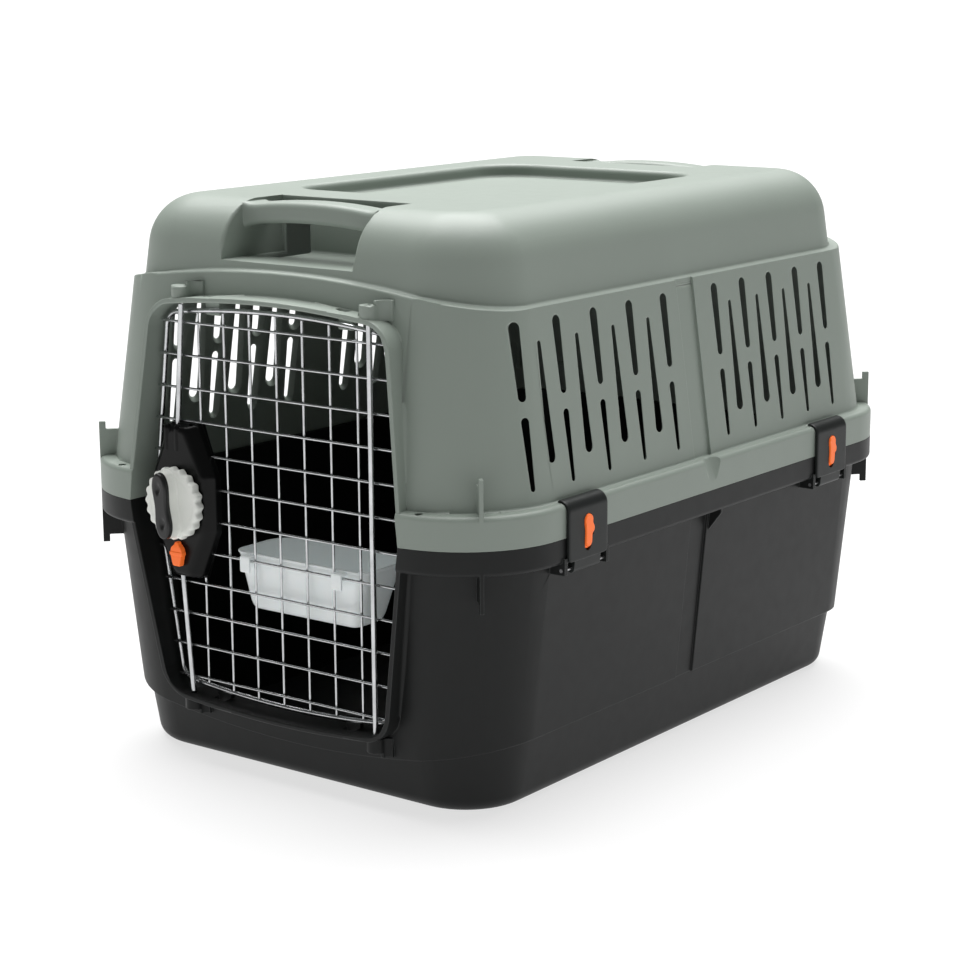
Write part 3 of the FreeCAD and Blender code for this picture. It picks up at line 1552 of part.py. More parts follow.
def clip(name, sign, y):
    """A side clip: a knuckle round its pin, a plate up the rim and a lip over the rim's top."""
    body = new_body(name + "_body")
    width = S["clip_width"] - S["key_gap"] * 2
    plane = -(y - width / 2)
    bore = S["clip_pin_radius"] + S["running_fit"]
    knuckle = new_sketch(body, name + "_knuckle_circle", "XZ_Plane", plane)
    circle(knuckle, PIN_X * sign, PIN_Z, S["clip_knuckle_radius"])
    pad(body, name + "_knuckle", knuckle, width, back=True)
    profile = new_sketch(body, name + "_profile", "XZ_Plane", plane)
    lip = RIM_TOP + S["clip_gap"]
    tip = CLIP_OUTER - S["clip_reach"]
    foot = PIN_Z - S["clip_knuckle_radius"]
    polygon(
        profile,
        [
            (PIN_X * sign, foot),
            (CLIP_OUTER * sign, foot),
            (CLIP_OUTER * sign, lip + S["clip_thickness"]),
            (tip * sign, lip + S["clip_thickness"]),
            (tip * sign, lip),
            (CLIP_INNER * sign, lip),
            (CLIP_INNER * sign, PIN_Z),
            (PIN_X * sign, PIN_Z),
        ],
    )
    pad(body, name + "_plate", profile, width, back=True)
    hole = new_sketch(body, name + "_bore_circle", "XZ_Plane", plane)
    circle(hole, PIN_X * sign, PIN_Z, bore)
    pocket(body, name + "_bore", hole)
    high = KEY_HIGH + S["key_gap"]
    low = KEY_HIGH - S["key_height"] - S["key_travel"] - S["key_gap"]
    radius = S["key_width"] / 2 + S["key_gap"]
    slot = new_sketch(body, name + "_slot_outline", "YZ_Plane")
    taper_slot(slot, y, low, high, radius, radius)
    pocket(body, name + "_slot", slot)
    recess = new_sketch(body, name + "_recess_outline", "YZ_Plane", CLIP_INNER * sign)
    more = S["key_flange"]
    taper_slot(recess, y, low - more, high + more, radius + more, radius + more)
    pocket(body, name + "_recess", recess, S["key_flange_depth"] + S["key_gap"] * 2, back=sign > 0)
    return body


def clip_key(name, sign, y):
    """The sliding key in a clip, held from behind by its flange."""
    body = new_body(name + "_body")
    start = CLIP_INNER + S["key_gap"]
    radius = S["key_width"] / 2
    low = KEY_HIGH - S["key_height"]
    face = new_sketch(body, name + "_outline", "YZ_Plane", start * sign)
    taper_slot(face, y, low, KEY_HIGH, radius, radius)
    pad(body, name + "_button", face, CLIP_OUTER - start + S["key_proud"], back=sign < 0)
    flange = new_sketch(body, name + "_flange_outline", "YZ_Plane", start * sign)
    more = S["key_flange"]
    taper_slot(flange, y, low - more, KEY_HIGH + more, radius + more, radius + more)
    pad(body, name + "_flange", flange, S["key_flange_depth"], back=sign < 0)
    return body


def bowl():
    """The bowl on the door: a tapered tub with two hooks over one of the level wires."""
    body = new_body("bowl_tub")
    strap_low = row_height(int(SIZES["bowl_row"])) + S["wire_radius"] + S["bowl_hook_gap"]
    strap_high = strap_low + S["bowl_hook_thickness"]
    top = strap_high + S["bowl_hook_thickness"]
    base = top - S["bowl_height"]
    front = DOOR + S["wire_radius"] * 2 + S["bowl_gap"]
    half = S["bowl_width"] / 2

    def section(name, height, inset, draw):
        sketch = new_sketch(body, name, "XY_Plane", height)
        radius = S["bowl_radius"] - draw / 2
        rounded_rectangle(
            sketch,
            S["bowl_shift"] + half - inset,
            front + inset / 3,
            front + S["bowl_depth"] - inset,
            radius / 2,
            radius,
            left=S["bowl_shift"] - half + inset,
        )
        return sketch

    taper, wall = S["bowl_taper"], S["bowl_wall"]
    sections = [section("bowl_low", base, taper, ZERO), section("bowl_high", top, ZERO, ZERO)]
    loft(body, "bowl_outer", sections)
    inner = body.newObject("PartDesign::SubtractiveLoft", "bowl_inner")
    inner.Profile = section("bowl_inner_low", base + wall, taper + wall, wall)
    inner.Sections = [section("bowl_inner_high", top, wall, wall)]
    inner.Ruled = True
    hooks_made = []
    leg_back = DOOR - S["wire_radius"] * 2 - S["bowl_hook_gap"]
    leg_front = leg_back - S["bowl_hook_thickness"]
    for side, sign in (("left", -1), ("right", 1)):
        x = S["bowl_hook_centre"] + S["bowl_hook_spread"] * sign - S["bowl_hook_width"] / 2
        reach = front + S["bowl_wall"] - leg_front
        strap = box(
            f"bowl_strap_{side}",
            S["bowl_hook_width"],
            reach,
            S["bowl_hook_thickness"],
            (x, leg_front, strap_low),
        )
        leg_low = strap_low - S["bowl_hook_drop"]
        leg = box(
            f"bowl_leg_{side}",
            S["bowl_hook_width"],
            S["bowl_hook_thickness"],
            S["bowl_hook_drop"] + S["bowl_hook_thickness"],
            (x, leg_front, leg_low),
        )
        hooks_made += [strap, leg]
    return fuse("bowl_hooked", [body] + hooks_made)


NODES = {}


def finish(name, made):
    """Give a finished sub-part the label that names its file."""
    made.Label = name
    NODES[name] = made


finish("lower_shell", lower_shell())
finish("upper_shell", upper_shell())
finish("door_frame", fuse("frame", [frame_half("frame_upper", 1), frame_half("frame_lower", -1)]))
wires()
finish("hinge_rod", hinge_rod())
finish("latch_housing_front", latch_front())
finish("latch_housing_back", latch_back())
finish("housing_screws", screws())
finish("knob_disc", knob_disc())
finish("knob_grip", knob_grip())
finish("latch_pinion", latch_pinion())
finish("latch_rod_upper", latch_rod("upper_rod", 1))
finish("latch_rod_lower", latch_rod("lower_rod", -1))
finish("safety_catch", safety_catch())
finish("bowl", bowl())
for clip_end, clip_y in CLIP_Y.items():
    for clip_side, clip_sign in CLIP_SIDES.items():
        place_name = f"{clip_end}_{clip_side}"
        finish(f"clip_{place_name}", clip(f"side_clip_{place_name}", clip_sign, clip_y))
        finish(f"clip_key_{place_name}", clip_key(f"side_key_{place_name}", clip_sign, clip_y))
        pin = cylinder(
            f"pin_{place_name}",
            S["clip_pin_radius"],
            S["clip_width"] + S["clip_ear"] * 2,
            (PIN_X * clip_sign, clip_y - S["clip_width"] / 2 - S["clip_ear"], PIN_Z),
            (X_AXIS, number(-90)),
        )
        finish(f"clip_pin_{place_name}", pin)


def check_and_write():
    """Write every sub-part, once all of the document has come out sound."""
    doc.recompute()
    failed = [o.Name for o in doc.Objects if "Invalid" in o.State or "Error" in o.State]
    if failed:
        raise RuntimeError(f"failed objects: {failed}")
    for name, made in NODES.items():
        shape = made.Shape
        if shape.isNull() or not shape.isValid():
            raise RuntimeError(f"{name} has no sound shape")
    os.makedirs("parts", exist_ok=True)
    for name, made in NODES.items():
        made.Shape.exportStep(os.path.join("parts", f"{name}.step"))


check_and_write()
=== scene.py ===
"""Looks of a pet carrier: two moulded shells, a wire door with a knob latch, side clips and a bowl."""

import itertools
import json
import logging
import math
from dataclasses import dataclass, field
from enum import Enum
from typing import Any, Callable, Iterable, Sequence

import bmesh
import bpy
from bmesh.types import BMEdge, BMesh, BMFace, BMLoop, BMVert
from bpy.types import Material, Mesh, Node, NodeSocket, NodeTree, Object
from mathutils import Matrix, Vector
from mathutils.bvhtree import BVHTree
from mathutils.geometry import intersect_point_line
from mathutils.kdtree import KDTree

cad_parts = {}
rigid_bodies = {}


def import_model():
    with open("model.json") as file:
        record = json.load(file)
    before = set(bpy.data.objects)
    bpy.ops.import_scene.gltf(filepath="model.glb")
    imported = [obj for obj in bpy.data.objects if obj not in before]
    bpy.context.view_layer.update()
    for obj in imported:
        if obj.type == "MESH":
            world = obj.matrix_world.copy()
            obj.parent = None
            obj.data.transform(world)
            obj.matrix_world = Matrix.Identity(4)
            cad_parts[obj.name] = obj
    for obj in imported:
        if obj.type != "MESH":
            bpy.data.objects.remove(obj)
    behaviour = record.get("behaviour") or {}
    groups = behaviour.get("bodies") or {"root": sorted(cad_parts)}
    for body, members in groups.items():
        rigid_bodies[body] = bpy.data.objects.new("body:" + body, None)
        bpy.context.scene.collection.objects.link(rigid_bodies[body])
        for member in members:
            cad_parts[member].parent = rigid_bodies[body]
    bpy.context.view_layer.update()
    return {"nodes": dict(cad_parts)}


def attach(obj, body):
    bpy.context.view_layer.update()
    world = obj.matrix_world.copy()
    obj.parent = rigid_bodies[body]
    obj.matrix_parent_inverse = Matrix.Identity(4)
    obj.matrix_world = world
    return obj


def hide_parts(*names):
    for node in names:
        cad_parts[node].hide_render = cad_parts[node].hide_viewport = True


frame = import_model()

LOG = logging.getLogger("carrier")
MM = 0.001
MERGE_DISTANCE = 2e-6
SMOOTH_ANGLE = math.radians(32)
SHARP_ANGLE = math.radians(28)
FLAT_ANGLE = math.radians(0.4)
LARGEST_ROUND = 8 * MM
SHELL_FRONT = -349.0
LATCH_MIDDLE = (-106.0, 243.0)

Pair = tuple[float, float]
Triple = tuple[float, float, float]
Colour = tuple[float, float, float, float]
EdgeRule = Callable[[BMEdge, Vector], float]
PlaceRule = Callable[[Vector], bool]


class Slot(Enum):
    """The record's material slots."""

    UPPER = "shell_upper"
    LOWER = "shell_lower"
    WIRE = "wire"
    SCREW = "screw"
    HOUSING = "housing"
    KNOB = "knob"
    GRIP = "grip"
    CLIP = "clip"
    ACCENT = "accent"
    BOWL = "bowl"


class Side(Enum):
    """The two long sides, as signs along X."""

    LEFT = -1
    RIGHT = 1


class End(Enum):
    """The two ends, as signs along Y."""

    FRONT = -1
    REAR = 1


class Level(Enum):
    """The latch's two rods, as signs along Z."""

    UPPER = 1
    LOWER = -1


class Join(Enum):
    """How a tool changes an object."""

    ADD = "UNION"
    REMOVE = "DIFFERENCE"


class Graph:
    """A node tree that nodes are added to one by one."""

    def __init__(self, tree: NodeTree) -> None:
        """Takes the tree to add to."""
        self.tree = tree

    def put(self, socket: NodeSocket, value: Any) -> None:
        """Links a socket to another, or sets its constant.

        Args:
            socket: The input socket.
            value: An output socket or a constant.
        """
        if isinstance(value, NodeSocket):
            self.tree.links.new(value, socket)
        else:
            socket.default_value = value

    def fill(self, node: Node, **inputs: Any) -> None:
        """Sets a node's inputs by name, with underscores for spaces."""
        for name, value in inputs.items():
            self.put(node.inputs[name.replace("_", " ")], value)

    def add(self, kind: str, settings: dict[str, Any] | None = None, **inputs: Any) -> Node:
        """Adds a node.

        Args:
            kind: The node's type.
            settings: The node's own properties.
            inputs: Values or sockets by input name, with underscores for spaces.

        Returns:
            The new node.
        """
        node = self.tree.nodes.new(kind)
        for name, value in (settings or {}).items():
            setattr(node, name, value)
        self.fill(node, **inputs)
        return node


def shade(colour: Triple, factor: float) -> Colour:
    """A colour made lighter or darker by a factor."""
    return (*(min(1.0, c * factor) for c in colour), 1.0)


class Shading(Graph):
    """A material's nodes, round one Principled shader."""

    bevel_samples = 6
    edge_likeness = (0.75, 0.985)

    def __init__(self, name: str) -> None:
        """Starts the material.

        Args:
            name: The material's name.
        """
        self.material = bpy.data.materials.new(name)
        self.material.use_nodes = True
        super().__init__(self.material.node_tree)
        self.tree.nodes.clear()
        self.shader = self.add("ShaderNodeBsdfPrincipled")
        self.add("ShaderNodeOutputMaterial", Surface=self.shader.outputs["BSDF"])
        self.place = self.add("ShaderNodeTexCoord").outputs["Object"]

    def noise(self, size: float, detail: float = 2.0, stretch: Triple = (1, 1, 1)) -> NodeSocket:
        """Noise in the object's own space.

        Args:
            size: The width of its cells in metres.
            detail: Its octaves.
            stretch: How densely it runs along each axis.

        Returns:
            The socket that gives it, from 0 to 1.
        """
        place = self.add("ShaderNodeMapping", Vector=self.place, Scale=stretch).outputs["Vector"]
        return self.add("ShaderNodeTexNoise", Vector=place, Scale=1 / size, Detail=detail).outputs["Fac"]

    def span(self, value: NodeSocket, low: float, high: float, ends: Pair = (0.3, 0.7)) -> NodeSocket:
        """Maps a value's range from ends to low and high.

        Args:
            value: The socket to read.
            low: The result at the first end.
            high: The result at the second end.
            ends: The range that is read.

        Returns:
            The mapped socket.
        """
        node = self.add("ShaderNodeMapRange", Value=value, To_Min=low, To_Max=high)
        self.fill(node, From_Min=ends[0], From_Max=ends[1])
        return node.outputs["Result"]

    def blend(self, factor: NodeSocket, first: Any, second: Any) -> NodeSocket:
        """Mixes two colours by a factor.

        Args:
            factor: The socket that mixes them.
            first: The colour at 0.
            second: The colour at 1.

        Returns:
            The mixed colour.
        """
        node = self.add("ShaderNodeMix", {"data_type": "RGBA"})
        for index, value in ((0, factor), (6, first), (7, second)):
            self.put(node.inputs[index], value)
        return node.outputs[2]

    def clouded(self, colour: Triple, size: float, low: float, high: float, detail: float = 3) -> NodeSocket:
        """A colour that drifts between a darker and a lighter shade.

        Args:
            colour: The colour.
            size: The width of the clouds in metres.
            low: The factor of the darker shade.
            high: The factor of the lighter shade.
            detail: The octaves of the clouds.

        Returns:
            The socket that gives it.
        """
        cloud = self.span(self.noise(size, detail), 0, 1)
        return self.blend(cloud, shade(colour, low), shade(colour, high))

    def rounded(self, radius: float) -> NodeSocket:
        """The normal with its edges eased over a radius."""
        return self.add("ShaderNodeBevel", {"samples": self.bevel_samples}, Radius=radius).outputs["Normal"]

    def edges(self, radius: float) -> NodeSocket:
        """A mask that rises near edges.

        Args:
            radius: How far from an edge it reaches, in metres.

        Returns:
            The mask, from 0 on flat faces to 1 on edges.
        """
        likeness = self.add("ShaderNodeVectorMath", {"operation": "DOT_PRODUCT"})
        self.put(likeness.inputs[0], self.rounded(radius))
        self.put(likeness.inputs[1], self.add("ShaderNodeNewGeometry").outputs["Normal"])
        return self.span(likeness.outputs["Value"], 1.0, 0.0, self.edge_likeness)

    def bump(self, height: NodeSocket, depth: float, **normal: NodeSocket) -> NodeSocket:
        """A normal roughened by a height.

        Args:
            height: The socket that holds the height, from 0 to 1.
            depth: The depth of its full range in metres.
            normal: The normal to start from, if any, as Normal.

        Returns:
            The new normal.
        """
        node = self.add("ShaderNodeBump", Strength=1.0, Distance=depth, Height=height, **normal)
        return node.outputs["Normal"]

    def done(self, **inputs: Any) -> Material:
        """Sets the shader's inputs by name and gives the material."""
        self.fill(self.shader, **inputs)
        return self.material


@dataclass(frozen=True)
class MouldedPlastic:
    """Injection-moulded plastic: a fine spark-eroded grain, faint mottling, and edges lightened partly as
    light wear and partly as a painted highlight.
    """

    name: str
    colour: Triple
    roughness: float
    grain: float = 0.9 * MM
    grain_depth: float = 0.03 * MM
    mottle: float = 0.05
    mottle_size: float = 90 * MM
    fleck: float = 0.35
    # How much lighter the edges are: light wear at small values, a painted highlight line at large ones.
    rub: float = 1.18
    edge: float = 0.7 * MM
    rub_reach: float = 2.2
    scuff_size: float = 14 * MM
    scuff: float = 0.02
    specular: float = 0.5
    # Emission strength: a painted glow that brightens a part which is no lamp.
    glow: float = 0.0

    def material(self) -> Material:
        """Builds the node material.

        Returns:
            The material.
        """
        made = Shading(self.name)
        tone = made.clouded(self.colour, self.mottle_size, 1 - self.mottle, 1 + self.mottle)
        fleck = made.span(made.noise(self.grain, 1), 0, self.fleck)
        grained = made.blend(fleck, tone, shade(self.colour, 1 - 2 * self.mottle))
        # Mask near edges that lightens the colour: light wear on pale plastics, a painted highlight line
        # along the edges of dark ones.
        rubbed = made.edges(self.rub_reach * self.edge)
        scuffs = made.noise(self.scuff_size, 4)
        eased = made.rounded(self.edge)
        return made.done(
            Base_Color=made.blend(rubbed, grained, shade(self.colour, self.rub)),
            Roughness=made.span(scuffs, self.roughness - self.scuff, self.roughness + self.scuff),
            Specular_IOR_Level=self.specular,
            # Emission in the plastic's own colour: painted glow, used on the orange plastic.
            Emission_Color=shade(self.colour, 1),
            Emission_Strength=self.glow,
            Normal=made.bump(made.noise(self.grain, 2), self.grain_depth, Normal=eased),
        )


@dataclass(frozen=True)
class ZincWire:
    """Bright zinc-plated steel: drawing lines, cloudy plating and duller patches."""

    name: str
    colour: Triple = (0.56, 0.57, 0.58)
    roughness: float = 0.22
    cloud_size: float = 18 * MM
    line_size: float = 0.8 * MM
    line_depth: float = 0.004 * MM
    line_stretch: Triple = (1, 1, 0.08)
    shades: Pair = (0.82, 1.08)
    dulling: Pair = (-0.04, 0.06)

    def material(self) -> Material:
        """Builds the node material.

        Returns:
            The material.
        """
        made = Shading(self.name)
        lines = made.noise(self.line_size, 2, self.line_stretch)
        return made.done(
            Base_Color=made.clouded(self.colour, self.cloud_size, *self.shades),
            Metallic=1.0,
            Roughness=made.span(lines, *(self.roughness + change for change in self.dulling)),
            Normal=made.bump(lines, self.line_depth),
        )


@dataclass(frozen=True)
class MilkyPlastic:
    """Thin translucent plastic, cloudy white with a cool cast."""

    name: str
    colour: Triple
    roughness: float = 0.36
    cloud_size: float = 30 * MM
    smear_size: float = 6 * MM
    grain: float = 1.6 * MM
    grain_depth: float = 0.02 * MM
    clarity: float = 0.15
    scatter: float = 0.4
    scatter_depth: Triple = (0.012, 0.012, 0.013)
    shades: Pair = (0.95, 1.03)
    dulling: Pair = (-0.05, 0.07)
    # Emission strength: a painted glow that brightens the bowl, which is no lamp.
    glow: float = 0.07

    def material(self) -> Material:
        """Builds the node material.

        Returns:
            The material.
        """
        made = Shading(self.name)
        smears = made.noise(self.smear_size, 3)
        return made.done(
            Base_Color=made.clouded(self.colour, self.cloud_size, *self.shades),
            Roughness=made.span(smears, *(self.roughness + change for change in self.dulling)),
            Transmission_Weight=self.clarity,
            # Emission in the bowl's own colour: a painted glow.
            Emission_Color=shade(self.colour, 1),
            Emission_Strength=self.glow,
            Subsurface_Weight=self.scatter,
            Subsurface_Radius=self.scatter_depth,
            Normal=made.bump(made.noise(self.grain, 2), self.grain_depth),
        )


@dataclass(frozen=True)
class PaleFloor:
    """A smooth painted studio floor."""

    name: str = "pale_floor"
    colour: Triple = (0.25, 0.25, 0.25)
    roughness: float = 0.9
    specular: float = 0.1
    cloud_size: float = 0.7
    shades: Pair = (0.985, 1.015)
    glow: float = 0.7

    def material(self) -> Material:
        """Builds the node material.

        Returns:
            The material.
        """
        made = Shading(self.name)
        return made.done(
            Base_Color=made.clouded(self.colour, self.cloud_size, *self.shades, 2),
            Roughness=self.roughness,
            Specular_IOR_Level=self.specular,
            Emission_Color=(1, 1, 1, 1),
            Emission_Strength=self.glow,
        )


class Finishes:
    """The materials, made once each."""

    def __init__(self) -> None:
        """Builds every material of the carrier."""

        def plastic(*plan: Any, **more: float) -> Material:
            """The material of a moulded plastic."""
            return MouldedPlastic(*plan, **more).material()

        charcoal, slate = (0.0105, 0.0113, 0.0111), (0.0135, 0.0156, 0.015)
        black, soft_black = (0.0035, 0.0037, 0.0037), (0.014, 0.0145, 0.0143)
        orange = (1.0, 0.18, 0.03)
        self.upper = plastic("sage_plastic", (0.262, 0.303, 0.266), 0.48, mottle=0.02)
        # The dark plastics get strong edge lightening: a painted highlight line along their edges, not only
        # wear.
        self.lower = plastic("charcoal_plastic", charcoal, 0.46, mottle=0.02, rub=6.0, specular=0.22)
        self.housing = plastic("black_plastic", black, 0.3, rub=10.0, specular=0.16)
        self.clip = plastic("slate_plastic", slate, 0.42, rub=2.6, specular=0.24)
        self.knob = plastic("light_grey_plastic", (0.88, 0.90, 0.85), 0.42, rub=1.05, mottle=0.02)
        self.grip = plastic("soft_black_plastic", soft_black, 0.3, rub=2.4, specular=0.4)
        # The orange plastic has a painted glow to brighten it.
        self.accent = plastic(
            "orange_plastic", orange, 0.38, rub=1.05, mottle=0.03, specular=0.3, glow=0.22
        )
        self.wire = ZincWire("zinc_wire").material()
        self.screw = ZincWire("zinc_screw", (0.5, 0.5, 0.51), 0.34).material()
        self.bowl = MilkyPlastic("milky_plastic", (0.92, 0.97, 0.97)).material()


def link(name: str, mesh: Mesh) -> Object:
    """Puts a mesh in the scene as an object at the origin.

    Args:
        name: The object's name.
        mesh: Its mesh.

    Returns:
        The object.
    """
    made = bpy.data.objects.new(name, mesh)
    bpy.context.scene.collection.objects.link(made)
    return made


def smooth(mesh: Mesh, angle: float = SMOOTH_ANGLE) -> None:
    """Shades a mesh smooth, with creases sharper than an angle."""
    mesh.shade_smooth()
    mesh.set_sharp_from_angle(angle=angle)


def settle(made: Object) -> Object:
    """Turns an object's modifiers into its plain mesh.

    Args:
        made: The object.

    Returns:
        The same object, without modifiers.
    """
    graph = bpy.context.evaluated_depsgraph_get()
    shown = made.evaluated_get(graph)
    mesh = bpy.data.meshes.new_from_object(shown, preserve_all_data_layers=True, depsgraph=graph)
    made.modifiers.clear()
    made.data = mesh
    return made


def tidy_faces(made: Object, angle: float = SMOOTH_ANGLE) -> Object:
    """Merges an object's doubles, turns its faces outwards and shades it smooth.

    Args:
        made: The object.
        angle: The crease angle.

    Returns:
        The same object.
    """
    bm = bmesh.new()
    bm.from_mesh(made.data)
    bmesh.ops.remove_doubles(bm, verts=bm.verts, dist=MERGE_DISTANCE)
    bmesh.ops.recalc_face_normals(bm, faces=bm.faces)
    bm.to_mesh(made.data)
    bm.free()
    smooth(made.data, angle)
    return made


def solid(name: str, bm: BMesh, angle: float = SMOOTH_ANGLE) -> Object:
    """Makes an object of mesh data, its faces turned outwards.

    Args:
        name: The object's name.
        bm: The mesh data, which is freed.
        angle: The crease angle.

    Returns:
        The object.
    """
    mesh = bpy.data.meshes.new(name)
    bm.to_mesh(mesh)
    bm.free()
    return tidy_faces(link(name, mesh), angle)


def cut(made: Object, bm: BMesh, how: Join) -> None:
    """Adds a tool to an object or takes it away.

    Args:
        made: The object, which stays a plain mesh.
        bm: The tool's mesh data, which is used up.
        how: Whether the tool is added or taken away.
    """
    tool = solid("tool", bm)
    modifier = made.modifiers.new("cut", "BOOLEAN")
    modifier.operation = how.value
    modifier.solver = "EXACT"
    modifier.object = tool
    settle(made)
    bpy.data.objects.remove(tool)
    tidy_faces(made)


def hand_over(made: Object, finish: Material, body: str, node: str) -> None:
    """Dresses a finished piece and lets it ride on its body in place of a CAD node.

    Args:
        made: The piece.
        finish: Its material.
        body: The body that carries it.
        node: The node it stands for.
    """
    made.data.materials.clear()
    made.data.materials.append(finish)
    weigh = made.modifiers.new("weigh", "WEIGHTED_NORMAL")
    weigh.keep_sharp = True
    settle(made)
    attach(made, body)
    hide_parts(node)
    LOG.info("%s rides %s, %d faces", made.name, body, len(made.data.polygons))


def keep(finish: Material, *nodes: str) -> None:
    """Keeps CAD nodes' shapes and gives them a finish.

    Args:
        finish: The material.
        nodes: The nodes.
    """
    for node in nodes:
        for slot in frame["nodes"][node].material_slots:
            slot.link = "OBJECT"
            slot.material = finish
        LOG.info("%s kept", node)


def merged(node: str) -> BMesh:
    """A CAD node's mesh data, with its doubles merged.

    Args:
        node: The node.

    Returns:
        The mesh data.
    """
    bm = bmesh.new()
    bm.from_mesh(frame["nodes"][node].data)
    bmesh.ops.remove_doubles(bm, verts=bm.verts, dist=MERGE_DISTANCE)
    return bm


def middle_of(edge: BMEdge) -> Vector:
    """An edge's middle in millimetres."""
    return (edge.verts[0].co + edge.verts[1].co) / 2 / MM


class Softened:
    """A CAD node's copy with its edges rounded, each as far as it has room."""

    room = 0.44
    ahead = 0.6
    overturned = -0.3
    narrow = 0.22 * MM
    drift = 1.9 * MM
    clear = 2.5 * MM
    turned_gap = 0.8 * MM
    turned_area = 1e-7
    bluntest = 2.97
    follows_on = 2.5
    growth = 1.5
    growth_slack = 0.05 * MM

    def __init__(
        self, node: str, name: str, rule: EdgeRule, steps: int = 3, pierced: PlaceRule = lambda place: False
    ) -> None:
        """Copies the node and chooses its roundings.

        Args:
            node: The node to copy.
            name: The copy's name.
            rule: Gives an edge's rounding in millimetres, from the edge and its middle in millimetres.
            steps: Faces across each rounding.
            pierced: Says where a wall has so many openings that its faces stay as they are.
        """
        self.name = name
        self.steps = steps
        self.bm = merged(node)
        self.surface = BVHTree.FromBMesh(self.bm)
        held = {edge for edge in self.bm.edges if pierced(middle_of(edge))}
        still = {vert for edge in held for vert in edge.verts}
        edges = [edge for edge in self.bm.edges if edge not in held]
        verts = [vert for vert in self.bm.verts if vert not in still]
        bmesh.ops.dissolve_limit(self.bm, angle_limit=FLAT_ANGLE, verts=verts, edges=edges)
        self.bm.normal_update()
        self.weight = self.bm.edges.layers.float.new("bevel_weight_edge")
        self.width: dict[BMEdge, float] = {
            edge: rule(edge, middle_of(edge)) * MM
            for edge in self.bm.edges
            if edge.is_manifold and edge.calc_face_angle(0.0) > SHARP_ANGLE
        }

    def across(self, edge: BMEdge, loop: BMLoop) -> float:
        """How far a face runs from one edge before it meets another rounded edge.

        Args:
            edge: The edge.
            loop: Its corner in the face.

        Returns:
            The distance in metres.
        """
        first, second = loop.vert.co, loop.link_loop_next.vert.co
        middle = (first + second) / 2
        inward = loop.face.normal.cross(second - first).normalized()
        best = 1.0
        for other in loop.face.edges:
            if other is edge or other not in self.width:
                continue
            a, b = (vert.co for vert in other.verts)
            if min((a - middle).length, (b - middle).length) - (a - b).length > best:
                continue
            along = intersect_point_line(middle, a, b)[1]
            gap = a.lerp(b, min(1.0, max(0.0, along))) - middle
            if gap.dot(inward) > self.ahead * gap.length:
                best = min(best, gap.length)
        return best

    def space(self, edge: BMEdge) -> float:
        """The widest rounding that the faces beside an edge leave room for.

        Args:
            edge: The edge.

        Returns:
            The rounding in metres, at most the wanted one.
        """
        least = self.width[edge]
        for loop in edge.link_loops:
            after = loop.link_loop_next
            for corner, near in ((loop, loop.link_loop_prev.edge), (after, after.edge)):
                angle = corner.calc_angle()
                if not corner.is_convex or angle > self.bluntest:
                    continue
                if near in self.width:
                    reach = min(near.calc_length(), edge.calc_length()) * math.tan(angle / 2)
                else:
                    reach = near.calc_length() * math.sin(angle)
                least = min(least, self.room * reach)
            if least > self.narrow:
                least = min(least, self.room * self.across(edge, loop))
        return least

    def even(self) -> None:
        """Keeps roundings that follow on from each other alike."""
        for edge in list(self.width):
            for vert in edge.verts:
                along = edge.other_vert(vert).co - vert.co
                for near in vert.link_edges:
                    if near is edge or near not in self.width:
                        continue
                    if along.angle(near.other_vert(vert).co - vert.co, 0.0) > self.follows_on:
                        most = self.growth * self.width[near] + self.growth_slack
                        self.width[edge] = min(self.width[edge], most)

    def bevelled(self) -> Object:
        """Makes the object with the present roundings.

        Returns:
            The object, as a plain mesh.
        """
        for edge, wanted in self.width.items():
            edge[self.weight] = wanted / LARGEST_ROUND if wanted > self.narrow else 0.0
        mesh = bpy.data.meshes.new(self.name)
        self.bm.to_mesh(mesh)
        for layer in ("custom_normal", "sharp_face", "sharp_edge"):
            if layer in mesh.attributes:
                mesh.attributes.remove(mesh.attributes[layer])
        made = link(self.name, mesh)
        bevel = made.modifiers.new("rounding", "BEVEL")
        bevel.limit_method = "WEIGHT"
        bevel.width = LARGEST_ROUND
        bevel.segments = self.steps
        bevel.use_clamp_overlap = False
        return settle(made)

    def strays(self, mesh: Mesh) -> list[Vector]:
        """Finds the faces that have left the CAD surface or turned over.

        Args:
            mesh: The rounded mesh.

        Returns:
            Those corners of the faces that are still on the surface.
        """
        far = {vert.index for vert in mesh.vertices if self.surface.find_nearest(vert.co)[3] > self.drift}
        found = []
        for face in mesh.polygons:
            _, normal, _, gap = self.surface.find_nearest(face.center)
            close = face.area > self.turned_area and gap < self.turned_gap
            if close and normal.dot(face.normal) < self.overturned or far.intersection(face.vertices):
                found += [mesh.vertices[i].co.copy() for i in face.vertices if i not in far]
        return found

    def flatten(self, places: Sequence[Vector]) -> None:
        """Leaves the edges near some places sharp.

        Args:
            places: The places in metres.
        """
        tree = KDTree(len(places))
        for i, place in enumerate(places):
            tree.insert(place, i)
        tree.balance()
        for edge in self.width:
            if min(tree.find(vert.co)[2] for vert in edge.verts) < self.clear:
                self.width[edge] = 0.0

    def build(self) -> Object:
        """Rounds the edges, leaving sharp those that have no room.

        Returns:
            The finished object.
        """
        self.width = {edge: self.space(edge) for edge in self.width}
        for _ in range(4):
            self.even()
        made = self.bevelled()
        for _ in range(3):
            bad = self.strays(made.data)
            if not bad:
                break
            LOG.info("%s: %d corners strayed", self.name, len(bad))
            self.flatten(bad)
            bpy.data.objects.remove(made)
            made = self.bevelled()
        self.bm.free()
        smooth(made.data)
        return made


